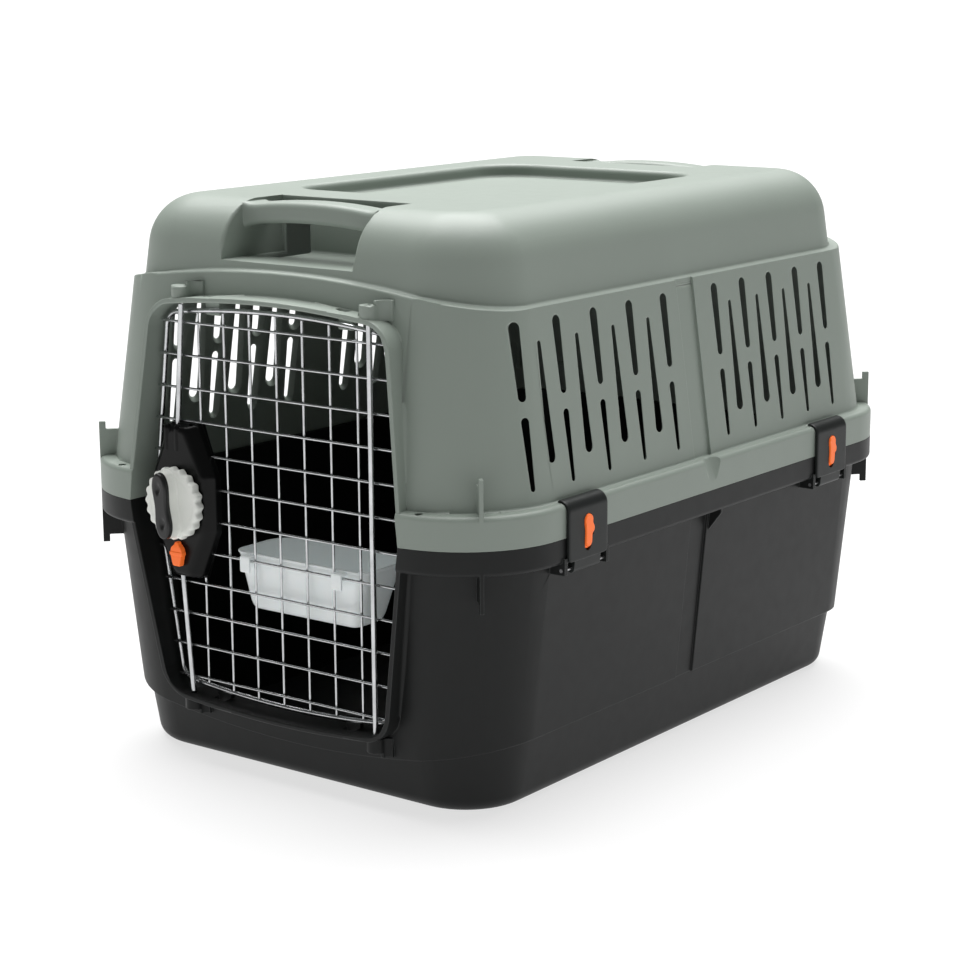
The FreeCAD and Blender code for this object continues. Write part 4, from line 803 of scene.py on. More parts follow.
class Tree(Graph):
    """A Geometry Nodes tree with named inputs."""

    def __init__(self, name: str, **inputs: str) -> None:
        """Starts the tree.

        Args:
            name: The tree's name.
            inputs: Kinds of socket by input name, with underscores for spaces.
        """
        super().__init__(bpy.data.node_groups.new(name, "GeometryNodeTree"))
        face = self.tree.interface
        face.new_socket("Geometry", in_out="INPUT", socket_type="NodeSocketGeometry")
        self.ids = {}
        for label, kind in {**inputs, "Material": "Material"}.items():
            socket = face.new_socket(
                label.replace("_", " "), in_out="INPUT", socket_type=f"NodeSocket{kind}"
            )
            self.ids[label] = socket.identifier
        face.new_socket("Geometry", in_out="OUTPUT", socket_type="NodeSocketGeometry")
        self.start = self.tree.nodes.new("NodeGroupInput").outputs

    def math(self, operation: str, *values: Any) -> NodeSocket:
        """One arithmetic step.

        Args:
            operation: The step.
            values: Numbers or sockets.

        Returns:
            The result's socket.
        """
        node = self.add("ShaderNodeMath", {"operation": operation})
        for socket, value in zip(node.inputs, values):
            self.put(socket, value)
        return node.outputs[0]

    def end(self, geometry: NodeSocket) -> "Tree":
        """Closes the tree with real geometry in its material.

        Args:
            geometry: The finished geometry.

        Returns:
            The tree.
        """
        real = self.add("GeometryNodeRealizeInstances", Geometry=geometry).outputs["Geometry"]
        dressed = self.add("GeometryNodeSetMaterial", Geometry=real, Material=self.start["Material"])
        self.add("NodeGroupOutput", Geometry=dressed.outputs["Geometry"])
        return self

    def grow(self, name: str, seed: Mesh, **values: Any) -> Object:
        """Runs the tree on a mesh.

        Args:
            name: The new object's name.
            seed: The mesh that goes in.
            values: Input values by name, with underscores for spaces.

        Returns:
            An object with the finished plain mesh, its faces outwards.
        """
        made = link(name, seed)
        modifier = made.modifiers.new("grow", "NODES")
        modifier.node_group = self.tree
        for label, value in values.items():
            modifier[self.ids[label]] = value
        return tidy_faces(settle(made))


def turned_tree() -> Tree:
    """A tree that turns a profile round Y, with scallops past a radius.

    Returns:
        The tree. Its profile holds radii in X and heights in Z.
    """
    made = Tree("turned", Around="Int", Lobes="Int", Lobe_Depth="Float", Lobe_Start="Float")
    start = made.start
    profile = start["Geometry"]
    count = made.add("GeometryNodeAttributeDomainSize", Geometry=profile).outputs["Point Count"]
    around = made.math("ADD", start["Around"], 1)
    grid = made.add("GeometryNodeMeshGrid", Vertices_X=around, Vertices_Y=count).outputs["Mesh"]
    index = made.add("GeometryNodeInputIndex").outputs["Index"]
    step = made.math("FLOOR", made.math("DIVIDE", made.math("ADD", index, 0.5), count))
    row = made.math("SUBTRACT", index, made.math("MULTIPLY", step, count))
    place = made.add("GeometryNodeInputPosition").outputs["Position"]
    sample = made.add(
        "GeometryNodeSampleIndex", {"data_type": "FLOAT_VECTOR"}, Geometry=profile, Value=place, Index=row
    )
    parts = made.add("ShaderNodeSeparateXYZ", Vector=sample.outputs["Value"]).outputs
    angle = made.math("MULTIPLY", made.math("DIVIDE", step, start["Around"]), math.tau)
    wave = made.math("COSINE", made.math("MULTIPLY", angle, start["Lobes"]))
    dip = made.math("MULTIPLY", made.math("SUBTRACT", 1.0, wave), 0.5)
    outer = made.math("GREATER_THAN", parts["X"], start["Lobe Start"])
    notch = made.math("MULTIPLY", made.math("MULTIPLY", dip, outer), start["Lobe Depth"])
    radius = made.math("SUBTRACT", parts["X"], notch)
    point = made.add(
        "ShaderNodeCombineXYZ",
        X=made.math("MULTIPLY", radius, made.math("COSINE", angle)),
        Y=parts["Z"],
        Z=made.math("MULTIPLY", radius, made.math("SINE", angle)),
    ).outputs["Vector"]
    shaped = made.add("GeometryNodeSetPosition", Geometry=grid, Position=point).outputs["Geometry"]
    closed = made.add("GeometryNodeMergeByDistance", Geometry=shaped, Distance=1e-6)
    return made.end(closed.outputs["Geometry"])


def wire_tree() -> Tree:
    """A tree that makes round wires of a mesh's edges.

    Returns:
        The tree.
    """
    made = Tree("wires", Radius="Float", Sides="Int")
    lines = made.add("GeometryNodeMeshToCurve", Mesh=made.start["Geometry"]).outputs["Curve"]
    sides, radius = made.start["Sides"], made.start["Radius"]
    ring = made.add("GeometryNodeCurvePrimitiveCircle", Resolution=sides, Radius=radius).outputs["Curve"]
    skin = made.add("GeometryNodeCurveToMesh", Curve=lines, Profile_Curve=ring, Fill_Caps=True)
    return made.end(skin.outputs["Mesh"])


def repeat_tree() -> Tree:
    """A tree that sets one piece at every point of a mesh.

    Returns:
        The tree.
    """
    made = Tree("repeated", Piece="Object")
    piece = made.add("GeometryNodeObjectInfo", Object=made.start["Piece"]).outputs["Geometry"]
    placed = made.add("GeometryNodeInstanceOnPoints", Points=made.start["Geometry"], Instance=piece)
    return made.end(placed.outputs["Instances"])


def point_mesh(name: str, points: Iterable[Sequence[float]], edges: Sequence[Pair] = ()) -> Mesh:
    """A mesh of loose points and edges.

    Args:
        name: Its name.
        points: The points in metres.
        edges: Pairs of point numbers.

    Returns:
        The mesh.
    """
    mesh = bpy.data.meshes.new(name)
    mesh.from_pydata([tuple(point) for point in points], edges, [])
    return mesh


def rounded_polygon(corners: Sequence[Pair], radius: float, steps: int) -> list[Pair]:
    """A closed outline with its corners rounded.

    Args:
        corners: The corners in order.
        radius: The corner radius.
        steps: Points round each corner.

    Returns:
        The outline's points.
    """
    points: list[Pair] = []
    for i, corner in enumerate(corners):
        here = Vector(corner)
        back = Vector(corners[i - 1]) - here
        ahead = Vector(corners[(i + 1) % len(corners)]) - here
        run = min(radius / math.tan(back.angle(ahead) / 2), 0.48 * back.length, 0.48 * ahead.length)
        start = here + back.normalized() * run
        end = here + ahead.normalized() * run
        for step in range(steps):
            t = step / (steps - 1)
            points.append(tuple(start * (1 - t) ** 2 + here * (2 * t * (1 - t)) + end * t**2))
    return points


def curve_through(points: Sequence[Pair], steps: int = 5) -> list[Pair]:
    """A smooth closed outline through some points.

    Args:
        points: The points in order.
        steps: Outline points per given point.

    Returns:
        The outline.
    """
    count = len(points)
    outline: list[Pair] = []
    for i in range(count):
        a, b, c, d = (Vector(points[(i + k) % count]) for k in (-1, 0, 1, 2))
        for t in (step / steps for step in range(steps)):
            bend = (2 * a - 5 * b + 4 * c - d) * t**2 + (3 * b - a - 3 * c + d) * t**3
            outline.append(tuple((2 * b + (c - a) * t + bend) / 2))
    return outline


def grown(outline: Sequence[Pair], amount: float) -> list[Pair]:
    """An outline moved outwards along its own normals.

    Args:
        outline: Its points, in either direction.
        amount: How far it moves, inwards when negative.

    Returns:
        The moved outline.
    """
    count = len(outline)
    area = sum(a[0] * b[1] - b[0] * a[1] for a, b in zip(outline, [*outline[1:], outline[0]]))
    sign = 1 if area > 0 else -1
    moved = []
    for i in range(count):
        along = (Vector(outline[(i + 1) % count]) - Vector(outline[i - 1])).normalized()
        moved.append(tuple(Vector(outline[i]) + Vector((along.y, -along.x)) * sign * amount))
    return moved


def circle(x: float, y: float, z: float, radius: float, steps: int = 24) -> list[Triple]:
    """A level ring of points round a middle."""
    turns = [math.tau * k / steps for k in range(steps)]
    return [(x + radius * math.cos(a), y + radius * math.sin(a), z) for a in turns]


def loft(rings: Iterable[Iterable[Triple]], bm: BMesh | None = None) -> BMesh:
    """Joins closed rings of equal counts and caps both ends.

    Args:
        rings: The rings' points in millimetres.
        bm: Mesh data to add to, if any.

    Returns:
        The mesh data.
    """
    bm = bm or bmesh.new()
    rows = [[bm.verts.new((x * MM, y * MM, z * MM)) for x, y, z in ring] for ring in rings]
    for first, second in zip(rows, rows[1:]):
        for i in range(len(first)):
            j = (i + 1) % len(first)
            bm.faces.new((first[i], first[j], second[j], second[i]))
    bm.faces.new(rows[0])
    bm.faces.new(rows[-1])
    return bm


def bar(low: Triple, high: Triple, radius: float, bm: BMesh | None = None, ease: float = 0.3) -> BMesh:
    """A straight bar along X with rounded long edges and eased ends.

    Args:
        low: Its lowest corner in millimetres.
        high: Its highest corner.
        radius: The rounding of its long edges.
        bm: Mesh data to add to, if any.
        ease: The easing of its ends.

    Returns:
        The mesh data.
    """
    corners = [(low[1], low[2]), (high[1], low[2]), (high[1], high[2]), (low[1], high[2])]
    outline = [Vector(point) for point in rounded_polygon(corners, radius, 4)]
    middle = sum(outline, Vector((0, 0))) / len(outline)
    rings = []
    for x, draw in ((low[0], ease), (low[0] + ease, 0), (high[0] - ease, 0), (high[0], ease)):
        drawn = [middle + (p - middle) * max(0.0, 1 - draw / (p - middle).length) for p in outline]
        rings.append([(x, point.x, point.y) for point in drawn])
    return loft(rings, bm)


def end_to_end(half: Sequence[Triple]) -> list[Triple]:
    """Mirrors rungs, given from one end inwards, so that they run from end to end."""
    return [(-along, a, b) for along, a, b in half] + [rung for rung in reversed(half) if rung[0] > 0]


@dataclass(frozen=True)
class Viewpoint:
    """The camera of the main view."""

    place: Triple = (1.3592, -1.8119, 0.7047)
    azimuth: float = 37.2907
    elevation: float = 12.2761
    roll: float = -0.3812
    lens: float = 88.32
    sensor: float = 36

    def build(self) -> None:
        """Makes the camera and sets it."""
        a, e, r = (math.radians(v) for v in (self.azimuth, self.elevation, self.roll))
        back = Vector((math.sin(a) * math.cos(e), -math.cos(a) * math.cos(e), math.sin(e)))
        level = Vector((math.cos(a), math.sin(a), 0))
        up = back.cross(level)
        right = level * math.cos(r) + up * math.sin(r)
        above = up * math.cos(r) - level * math.sin(r)
        data = bpy.data.cameras.new("view")
        data.sensor_fit = "HORIZONTAL"
        data.sensor_width = self.sensor
        data.lens = self.lens
        made = bpy.data.objects.new("view", data)
        turn = Matrix((right, above, back)).transposed().to_4x4()
        made.matrix_world = Matrix.Translation(self.place) @ turn
        bpy.context.scene.collection.objects.link(made)
        bpy.context.scene.camera = made


@dataclass(frozen=True)
class Studio:
    """A pale lit floor under one broad light from above and behind, and a soft sky."""

    floor_half: float = 60.0
    sky: float = 0.12
    overhead: float = 6.4
    overhead_from: Triple = (-0.22, 0.30, 0.93)
    overhead_spread: float = 62.0
    overhead_distance: float = 4.0

    def build(self) -> None:
        """Makes the floor, light and sky."""
        half = self.floor_half
        mesh = bpy.data.meshes.new("floor")
        corners = [(-half, -half, 0), (half, -half, 0), (half, half, 0), (-half, half, 0)]
        mesh.from_pydata(corners, [], [(0, 1, 2, 3)])
        mesh.materials.append(PaleFloor().material())
        floor = link("floor", mesh)
        scene = bpy.context.scene
        scene.world = bpy.data.worlds.new("sky")
        scene.world.use_nodes = True
        background = scene.world.node_tree.nodes["Background"]
        background.inputs["Color"].default_value = (1, 1, 1, 1)
        background.inputs["Strength"].default_value = self.sky
        sun = bpy.data.lights.new("overhead", "SUN")
        sun.energy = self.overhead
        sun.angle = math.radians(self.overhead_spread)
        made = bpy.data.objects.new("overhead", sun)
        made.location = Vector(self.overhead_from) * self.overhead_distance
        made.rotation_euler = Vector(self.overhead_from).to_track_quat("Z", "Y").to_euler()
        scene.collection.objects.link(made)
        scene.view_settings.view_transform = "Standard"


@dataclass
class Shell:
    """What both moulded shells have, in millimetres."""

    finish: Material
    collar_half: float = 185.0
    collar_back: float = SHELL_FRONT + 50
    boss_back: float = SHELL_FRONT + 22
    seam_round: float = 0.4
    boss_round: float = 1.5
    plain_round: float = 0.7


@dataclass
class Hood(Shell):
    """The sage upper shell with its rim, vents, ledge, dome, tray and handles.

    Sizes are in millimetres. A pair of roundings is for hollow edges and for proud ones.
    """

    seam: float = 241.5
    rim_top: float = 270.5
    rim_band: float = 2.5
    ledge: Pair = (427.0, 456.0)
    flank: float = 150.0
    ledge_corner: float = 235.0
    tray: Triple = (123.0, -171.0, 167.0)
    tray_floor: float = 490.0
    handle: Triple = (77.0, 222.0, 310.0)
    vents_front: float = SHELL_FRONT + 52
    margin: float = 2.0
    level_tilt: float = 0.6
    under_tilt: float = -0.5
    bar_half: float = 75.0
    bar_reach: float = 200.0
    bar_depth: Pair = (244.8, 274.8)
    bar_height: Pair = (487.0, 506.0)
    bar_rungs: tuple[Triple, ...] = (
        (76.4, 2.4, 5.0), (74.0, 1.6, 6.0), (70.0, 0.5, 7.0), (63.0, 0.0, 7.5),
        (48.0, 0.0, 7.5), (32.0, 0.0, 7.5), (16.0, 0.0, 7.5), (0.0, 0.0, 7.5),
    )
    arch: float = 5.0
    bar_slack: Pair = (0.4, 0.3)
    flare: float = 5.0
    wall: Pair = (3.0, 9.0)
    inward_tilt: float = -0.8
    upright_tilt: float = 0.3
    ray_start: float = 0.3
    vent_skew: float = 1.5
    tray_round: Pair = (4.0, 6.0)
    grip_round: Pair = (3.0, 3.5)
    ledge_round: Pair = (4.0, 2.6)
    corner_round: float = 1.5
    rim_round: Pair = (2.5, 7.5)
    collar_round: Pair = (5.0, 0.8)
    bm: BMesh = field(init=False)

    def rounding(self, edge: BMEdge, middle: Vector) -> float:
        """How far an edge of the shell is rounded.

        Args:
            edge: The edge.
            middle: Its middle in millimetres.

        Returns:
            The rounding in millimetres.
        """
        tilts = [face.normal.z for face in edge.link_faces]
        proud = edge.is_convex
        x, y, z = abs(middle.x), middle.y, middle.z
        if z < self.seam:
            return self.seam_round
        if self.vented(middle):
            return 0.0
        if z > self.tray_floor and x < self.tray[0] and self.tray[1] < y < self.tray[2]:
            return self.tray_round[proud]
        if z > self.ledge[1] and x < self.handle[0] and self.handle[1] < abs(y) < self.handle[2]:
            near, far = self.bar_depth
            along = near - self.margin < abs(y) < far + self.margin
            on_bar = along and z > self.bar_height[0] - self.margin
            return 0.0 if on_bar else self.grip_round[proud]
        if self.ledge[0] < z < self.ledge[1] and max(tilts) > self.level_tilt:
            corner = x > self.flank and abs(y) > self.ledge_corner
            return self.corner_round if corner else self.ledge_round[proud]
        if abs(z - self.rim_top) < self.rim_band:
            return self.rim_round[proud]
        if y < self.collar_back and not proud and z > self.rim_top and x < self.collar_half:
            return self.collar_round[min(tilts) <= self.under_tilt]
        if y < self.boss_back and z > self.rim_top:
            return self.boss_round
        return self.plain_round

    def vented(self, place: Vector) -> bool:
        """Whether a place in millimetres is on a side wall between the rim and the ledge."""
        level = self.rim_top + self.rim_band < place.z < self.ledge[0] - self.margin
        return level and abs(place.x) > self.flank and place.y > self.vents_front

    def handle_bar(self, end: End) -> BMesh:
        """An arched handle bar with rounded edges and flared ends.

        Args:
            end: The end of the carrier that it is at.

        Returns:
            Its mesh data.
        """
        rings = []
        for x, flare, corner in end_to_end(self.bar_rungs):
            lift = self.arch * (1 - (x / self.handle[0]) ** 2) - 0.5 * self.arch
            near, far = self.bar_depth[0] - flare, self.bar_depth[1] + flare
            low, high = self.bar_height[0] - flare + lift, self.bar_height[1] + flare + lift
            outline = rounded_polygon([(near, low), (far, low), (far, high), (near, high)], corner, 7)
            rings.append([(x, y * end.value, z) for y, z in outline])
        return loft(rings)

    def bar_faces(self) -> list[BMFace]:
        """Finds the faces in the room of the plain handle bars.

        Returns:
            The faces.
        """
        (near, far), (low, high), (inner, slack) = self.bar_depth, self.bar_height, self.bar_slack

        def inside(vert: BMVert) -> bool:
            """Whether a corner is in the bars' room."""
            x, y, z = vert.co / MM
            along = near - inner < abs(y) < far + slack
            return along and abs(x) <= self.bar_reach and low - slack < z < high + slack

        return [face for face in self.bm.faces if all(inside(vert) for vert in face.verts)]

    def part_bars(self) -> None:
        """Takes the plain handle bars out of the shell and closes their ends."""
        for x in (-self.bar_half, self.bar_half):
            parts: dict[Any, None] = {}
            for face in self.bar_faces():
                parts.update(dict.fromkeys([face, *face.edges, *face.verts]))
            plane = {"plane_co": (x * MM, 0, 0), "plane_no": (1, 0, 0)}
            bmesh.ops.bisect_plane(self.bm, geom=list(parts), dist=1e-6, **plane)
        reach = (self.bar_half - 0.05) * MM
        inner = [face for face in self.bar_faces() if abs(face.calc_center_median().x) < reach]
        bmesh.ops.delete(self.bm, geom=inner, context="FACES")
        rims = [edge for edge in self.bm.edges if edge.is_boundary]
        for side, end in itertools.product(Side, End):
            rim = [e for e in rims if middle_of(e).x * side.value > 0 and middle_of(e).y * end.value > 0]
            for face in bmesh.ops.contextual_create(self.bm, geom=rim)["faces"]:
                face.normal_update()
                if face.normal.x * side.value > 0:
                    face.normal_flip()
        LOG.info("%d faces of the plain handle bars gone", len(inner))

    def turn_folds(self) -> None:
        """Turns the facets of the vented walls' outer side that face inwards, with no wall behind them."""
        self.bm.normal_update()
        tree = BVHTree.FromBMesh(self.bm)
        folds = []
        for face in self.bm.faces:
            middle = face.calc_center_median()
            inward = face.normal.x * math.copysign(1, middle.x)
            if inward > self.inward_tilt or not self.vented(middle / MM):
                continue
            start = middle - face.normal * self.ray_start * MM
            if tree.ray_cast(start, -face.normal, self.wall[1] * MM)[0] is None:
                folds.append(face)
        for face in folds:
            face.normal_flip()
        LOG.info("%d facets turned", len(folds))

    def flare_vents(self) -> None:
        """Widens the vents towards the inside, so that each has a thin outer edge."""
        self.bm.normal_update()
        away: dict[BMVert, Vector] = {}
        for face in self.bm.faces:
            middle = face.calc_center_median()
            if abs(face.normal.x) > self.upright_tilt or not self.vented(middle / MM):
                continue
            for edge in face.edges:
                run = edge.verts[1].co - edge.verts[0].co
                skew = math.hypot(run.y, run.z)
                if abs(run.x) > self.wall[0] * MM and skew < self.vent_skew * MM:
                    inner = min(edge.verts, key=lambda vert: abs(vert.co.x))
                    away[inner] = away.get(inner, Vector()) + Vector((0, face.normal.y, face.normal.z))
        for vert, side in away.items():
            vert.co -= side.normalized() * self.flare * MM
        LOG.info("%d vent corners moved", len(away))

    def build(self) -> None:
        """Makes the shell's moulded form, with arched handle bars in place of the plain ones."""
        made = Softened("upper_shell", "upper_shell_moulding", self.rounding, 4, self.vented).build()
        self.bm = bmesh.new()
        self.bm.from_mesh(made.data)
        self.part_bars()
        self.turn_folds()
        self.flare_vents()
        for end in End:
            arched = solid("arched", self.handle_bar(end))
            self.bm.from_mesh(arched.data)
            bpy.data.objects.remove(arched)
        self.bm.to_mesh(made.data)
        self.bm.free()
        smooth(made.data)
        hand_over(made, self.finish, "shell", "upper_shell")


@dataclass
class Tub(Shell):
    """The charcoal lower shell with its rim, bowed ridge, skirt and base, in millimetres."""

    seam: float = 240.5
    rim_bottom: float = 219.0
    ridge: Pair = (30.0, 66.0)
    opening_half: float = 165.0
    rim_band: float = 2.0
    ridge_round: float = 1.2
    rim_round: float = 2.5
    collar_round: float = 4.0

    def rounding(self, edge: BMEdge, middle: Vector) -> float:
        """How far an edge of the shell is rounded.

        Args:
            edge: The edge.
            middle: Its middle in millimetres.

        Returns:
            The rounding in millimetres.
        """
        hollow = not edge.is_convex
        x, y, z = abs(middle.x), middle.y, middle.z
        if z > self.seam:
            return self.seam_round
        if self.ridge[0] < z < self.ridge[1] and not (x < self.opening_half and y < self.collar_back):
            return self.ridge_round
        if abs(z - self.rim_bottom) < self.rim_band and hollow:
            return self.rim_round
        if y < self.collar_back and hollow and x < self.collar_half:
            return self.collar_round
        return self.boss_round if y < self.boss_back else self.plain_round

    def build(self) -> None:
        """Makes the shell's moulded form."""
        made = Softened("lower_shell", "lower_shell_moulding", self.rounding).build()
        hand_over(made, self.finish, "shell", "lower_shell")


@dataclass
class WireDoor:
    """The welded mesh with its bent outline wire and hinge rod."""

    finish: Material
    wires: Tree
    radius: float = 1.2 * MM
    sides: int = 16

    def lines(self, node: str) -> list[tuple[Vector, Vector]]:
        """The ends of a node's straight wires.

        Args:
            node: The node, one solid per wire.

        Returns:
            A pair of ends for each wire.
        """
        bm = merged(node)
        seen: set[BMVert] = set()
        found = []
        for start in bm.verts:
            if start in seen:
                continue
            seen.add(start)
            island = [start]
            for vert in island:
                near = (edge.other_vert(vert) for edge in vert.link_edges)
                fresh = [other for other in near if other not in seen]
                seen.update(fresh)
                island += fresh
            low = Vector([min(v.co[i] for v in island) for i in range(3)])
            high = Vector([max(v.co[i] for v in island) for i in range(3)])
            run = max(range(3), key=lambda i: high[i] - low[i])
            ends = (low + high) / 2, (low + high) / 2
            ends[0][run], ends[1][run] = low[run], high[run]
            found.append(ends)
        bm.free()
        return found

    def build(self) -> None:
        """Makes the mesh and plates the frame and rod."""
        for node in ("door_vertical_wires", "door_horizontal_wires"):
            pairs = self.lines(node)
            edges = [(2 * i, 2 * i + 1) for i in range(len(pairs))]
            seed = point_mesh(node, itertools.chain(*pairs), edges)
            values = {"Radius": self.radius, "Sides": self.sides, "Material": self.finish}
            made = self.wires.grow(f"{node}_drawn", seed, **values)
            hand_over(made, self.finish, "door", node)
        keep(self.finish, "door_frame", "hinge_rod")


@dataclass
class Latch:
    """The black eight-sided housing with its screws, rods, gear and orange catch, in millimetres."""

    black: Material
    wire: Material
    steel: Material
    accent: Material
    pale: Material
    turned: Tree
    repeated: Tree
    middle: Pair = LATCH_MIDDLE
    back: float = -321.9
    half_end: float = 17.1
    half_side: float = 37.1
    half_height: float = 70.1
    flank: float = 25.0
    corner: float = 9.0
    rungs: tuple[Triple, ...] = (
        (-0.4, 0, 0), (4.6, 0, 0), (5.7, 0.2, 0.1), (6.7, 0.8, 0.4), (8.0, 2.0, 1.0),
        (12.0, 5.8, 2.2), (13.2, 7.0, 3.0), (14.2, 8.4, 4.2), (14.8, 9.9, 5.6), (15.1, 11.6, 7.4),
    )
    rim_depth: float = 5.5
    wall: Pair = (2.2, 2.6)
    crease: float = 44.0
    rod_lean: float = 4.5
    rod_bore: float = 3.0
    rod_tip: float = 1.5
    rod_span: Pair = (20.0, 90.0)
    knuckles: Pair = (-119.0, -106.6)
    knuckle_depth: float = -334.0
    knuckle_rungs: tuple[Pair, ...] = (
        (286.0, 0.6), (287.4, 2.6), (290.0, 4.0), (308.0, 4.0), (310.6, 3.2), (312.4, 1.4),
    )
    spindle_half: float = 6.4
    slot_half: float = 3.4
    slot_height: Pair = (190.5, 204.4)
    hole_depth: Pair = (-340.0, -330.0)
    screw_spread: Pair = (16.0, 56.0)
    screw_profile: tuple[Pair, ...] = (
        (0, -328), (1.2, -328), (1.4, -327.4), (1.4, -318), (2.6, -318), (2.8, -317.6),
        (2.75, -316.9), (2.4, -316.3), (1.8, -316.0), (0.9, -315.92), (0, -315.9),
    )
    cross: Pair = (1.75, 0.32)
    cross_depth: Pair = (-317.0, -315.0)
    cross_round: float = 0.1
    screw_steps: int = 28
    catch_back: float = -337.3
    catch_round: float = 0.8
    catch_rungs: tuple[Triple, ...] = (
        (185.4, 3.4, 4.6), (186.2, 4.4, 5.4), (188.4, 4.9, 5.7), (194.6, 6.5, 5.6), (195.4, 7.1, 5.5),
        (195.8, 7.5, 6.0), (198.2, 7.5, 6.0), (198.6, 7.0, 5.4), (200.6, 6.6, 5.4), (202.4, 5.8, 5.3),
        (204.2, 3.6, 5.0), (205.2, 2.5, 4.8), (206.8, 2.1, 4.4), (207.3, 1.5, 3.8),
    )
    catch_neck: tuple[Triple, Triple] = ((-3, -337.6, 192.9), (3, -334.0, 201.9))
    catch_foot: tuple[Triple, Triple] = ((-5, -334.2, 190.9), (5, -332.7, 203.9))
    small_round: float = 0.4

    def block(self, draw: float, reach: float) -> BMesh:
        """The housing's outer form, drawn in all round and cut short in front.

        Args:
            draw: How far it is drawn in.
            reach: How far its front is cut short.

        Returns:
            Its mesh data.
        """
        x0, z0 = self.middle
        rings = []
        for out, side, end in self.rungs:
            depth = self.back - (out - reach if out > self.rim_depth else out)
            e, s = self.half_end - side - draw, self.half_side - side - draw
            h = self.half_height - end - draw
            half = [(e, -h), (s, -self.flank), (s, self.flank), (e, h)]
            outline = rounded_polygon(half + [(-x, -z) for x, z in half], self.corner, 8)
            rings.append([(x0 + x, depth, z0 + z) for x, z in outline])
        return loft(rings)

    def rod_way(self, level: Level) -> BMesh:
        """A bore through the housing's end for a latch rod.

        Args:
            level: Which rod it is for.

        Returns:
            The bore's mesh data.
        """
        rod = frame["nodes"][f"latch_rod_{level.name.lower()}"]
        points = [vert.co / MM for vert in rod.data.vertices]
        far = max(level.value * point.z for point in points)
        ring = [point for point in points if level.value * point.z > far - self.rod_tip]
        tip = sum(ring, Vector()) / len(ring)
        lean = math.tan(math.radians(self.rod_lean))
        heights = [self.middle[1] + level.value * span for span in self.rod_span]
        return loft([circle(tip.x + abs(tip.z - z) * lean, tip.y, z, self.rod_bore) for z in heights])

    def housing(self) -> None:
        """Shapes the hollow front half with broad flanks, and keeps the back half."""
        made = solid("latch_housing_shaped", self.block(0.0, 0.0))
        for x in self.knuckles:
            rings = [circle(x, self.knuckle_depth, z, radius) for z, radius in self.knuckle_rungs]
            cut(made, loft(rings), Join.ADD)
        cut(made, self.block(*self.wall), Join.REMOVE)
        for level in Level:
            cut(made, self.rod_way(level), Join.REMOVE)
        x0, z0 = self.middle
        deep, shallow = self.hole_depth
        spindle = (z0 - self.spindle_half, z0 + self.spindle_half)
        for half, (low, high) in ((self.spindle_half, spindle), (self.slot_half, self.slot_height)):
            hole = bar((x0 - half, deep, low), (x0 + half, shallow, high), self.small_round)
            cut(made, hole, Join.REMOVE)
        tidy_faces(made, math.radians(self.crease))
        hand_over(made, self.black, "door", "latch_housing_front")
        keep(self.black, "latch_housing_back")

    def screws(self) -> None:
        """Sets four cross-head screws in the back half."""
        seed = point_mesh("screw", [(r * MM, 0, y * MM) for r, y in self.screw_profile])
        plain = {"Lobes": 0, "Lobe_Depth": 0.0, "Lobe_Start": 1.0, "Material": self.steel}
        pattern = self.turned.grow("screw_pattern", seed, Around=self.screw_steps, **plain)
        low, high = self.cross_depth
        for x, z in (self.cross, self.cross[::-1]):
            cut(pattern, bar((-x, low, -z), (x, high, z), self.cross_round), Join.REMOVE)
        x0, z0 = self.middle
        wide, tall = self.screw_spread
        points = [((x0 + i * wide) * MM, 0, (z0 + k * tall) * MM) for i in (-1, 1) for k in (-1, 1)]
        places = point_mesh("places", points)
        made = self.repeated.grow("housing_screws_set", places, Piece=pattern, Material=self.steel)
        bpy.data.objects.remove(pattern)
        hand_over(made, self.steel, "door", "housing_screws")

    def catch(self) -> None:
        """Shapes the orange slider: a tongue, shoulders, a thumb ridge and its foot."""
        x0, back = self.middle[0], self.catch_back
        rings = []
        for z, half, depth in self.catch_rungs:
            corners = [(-half, back), (half, back), (half, back - depth), (-half, back - depth)]
            rings.append([(x0 + x, y, z) for x, y in rounded_polygon(corners, self.catch_round, 4)])
        bm = loft(rings)
        for low, high in (self.catch_neck, self.catch_foot):
            bar((x0 + low[0], *low[1:]), (x0 + high[0], *high[1:]), self.small_round, bm)
        made = solid("safety_catch_shaped", bm)
        hand_over(made, self.accent, "catch", "safety_catch")

    def build(self) -> None:
        """Makes the latch's pieces."""
        self.housing()
        self.screws()
        self.catch()
        keep(self.pale, "latch_pinion")
        keep(self.wire, "latch_rod_upper", "latch_rod_lower")


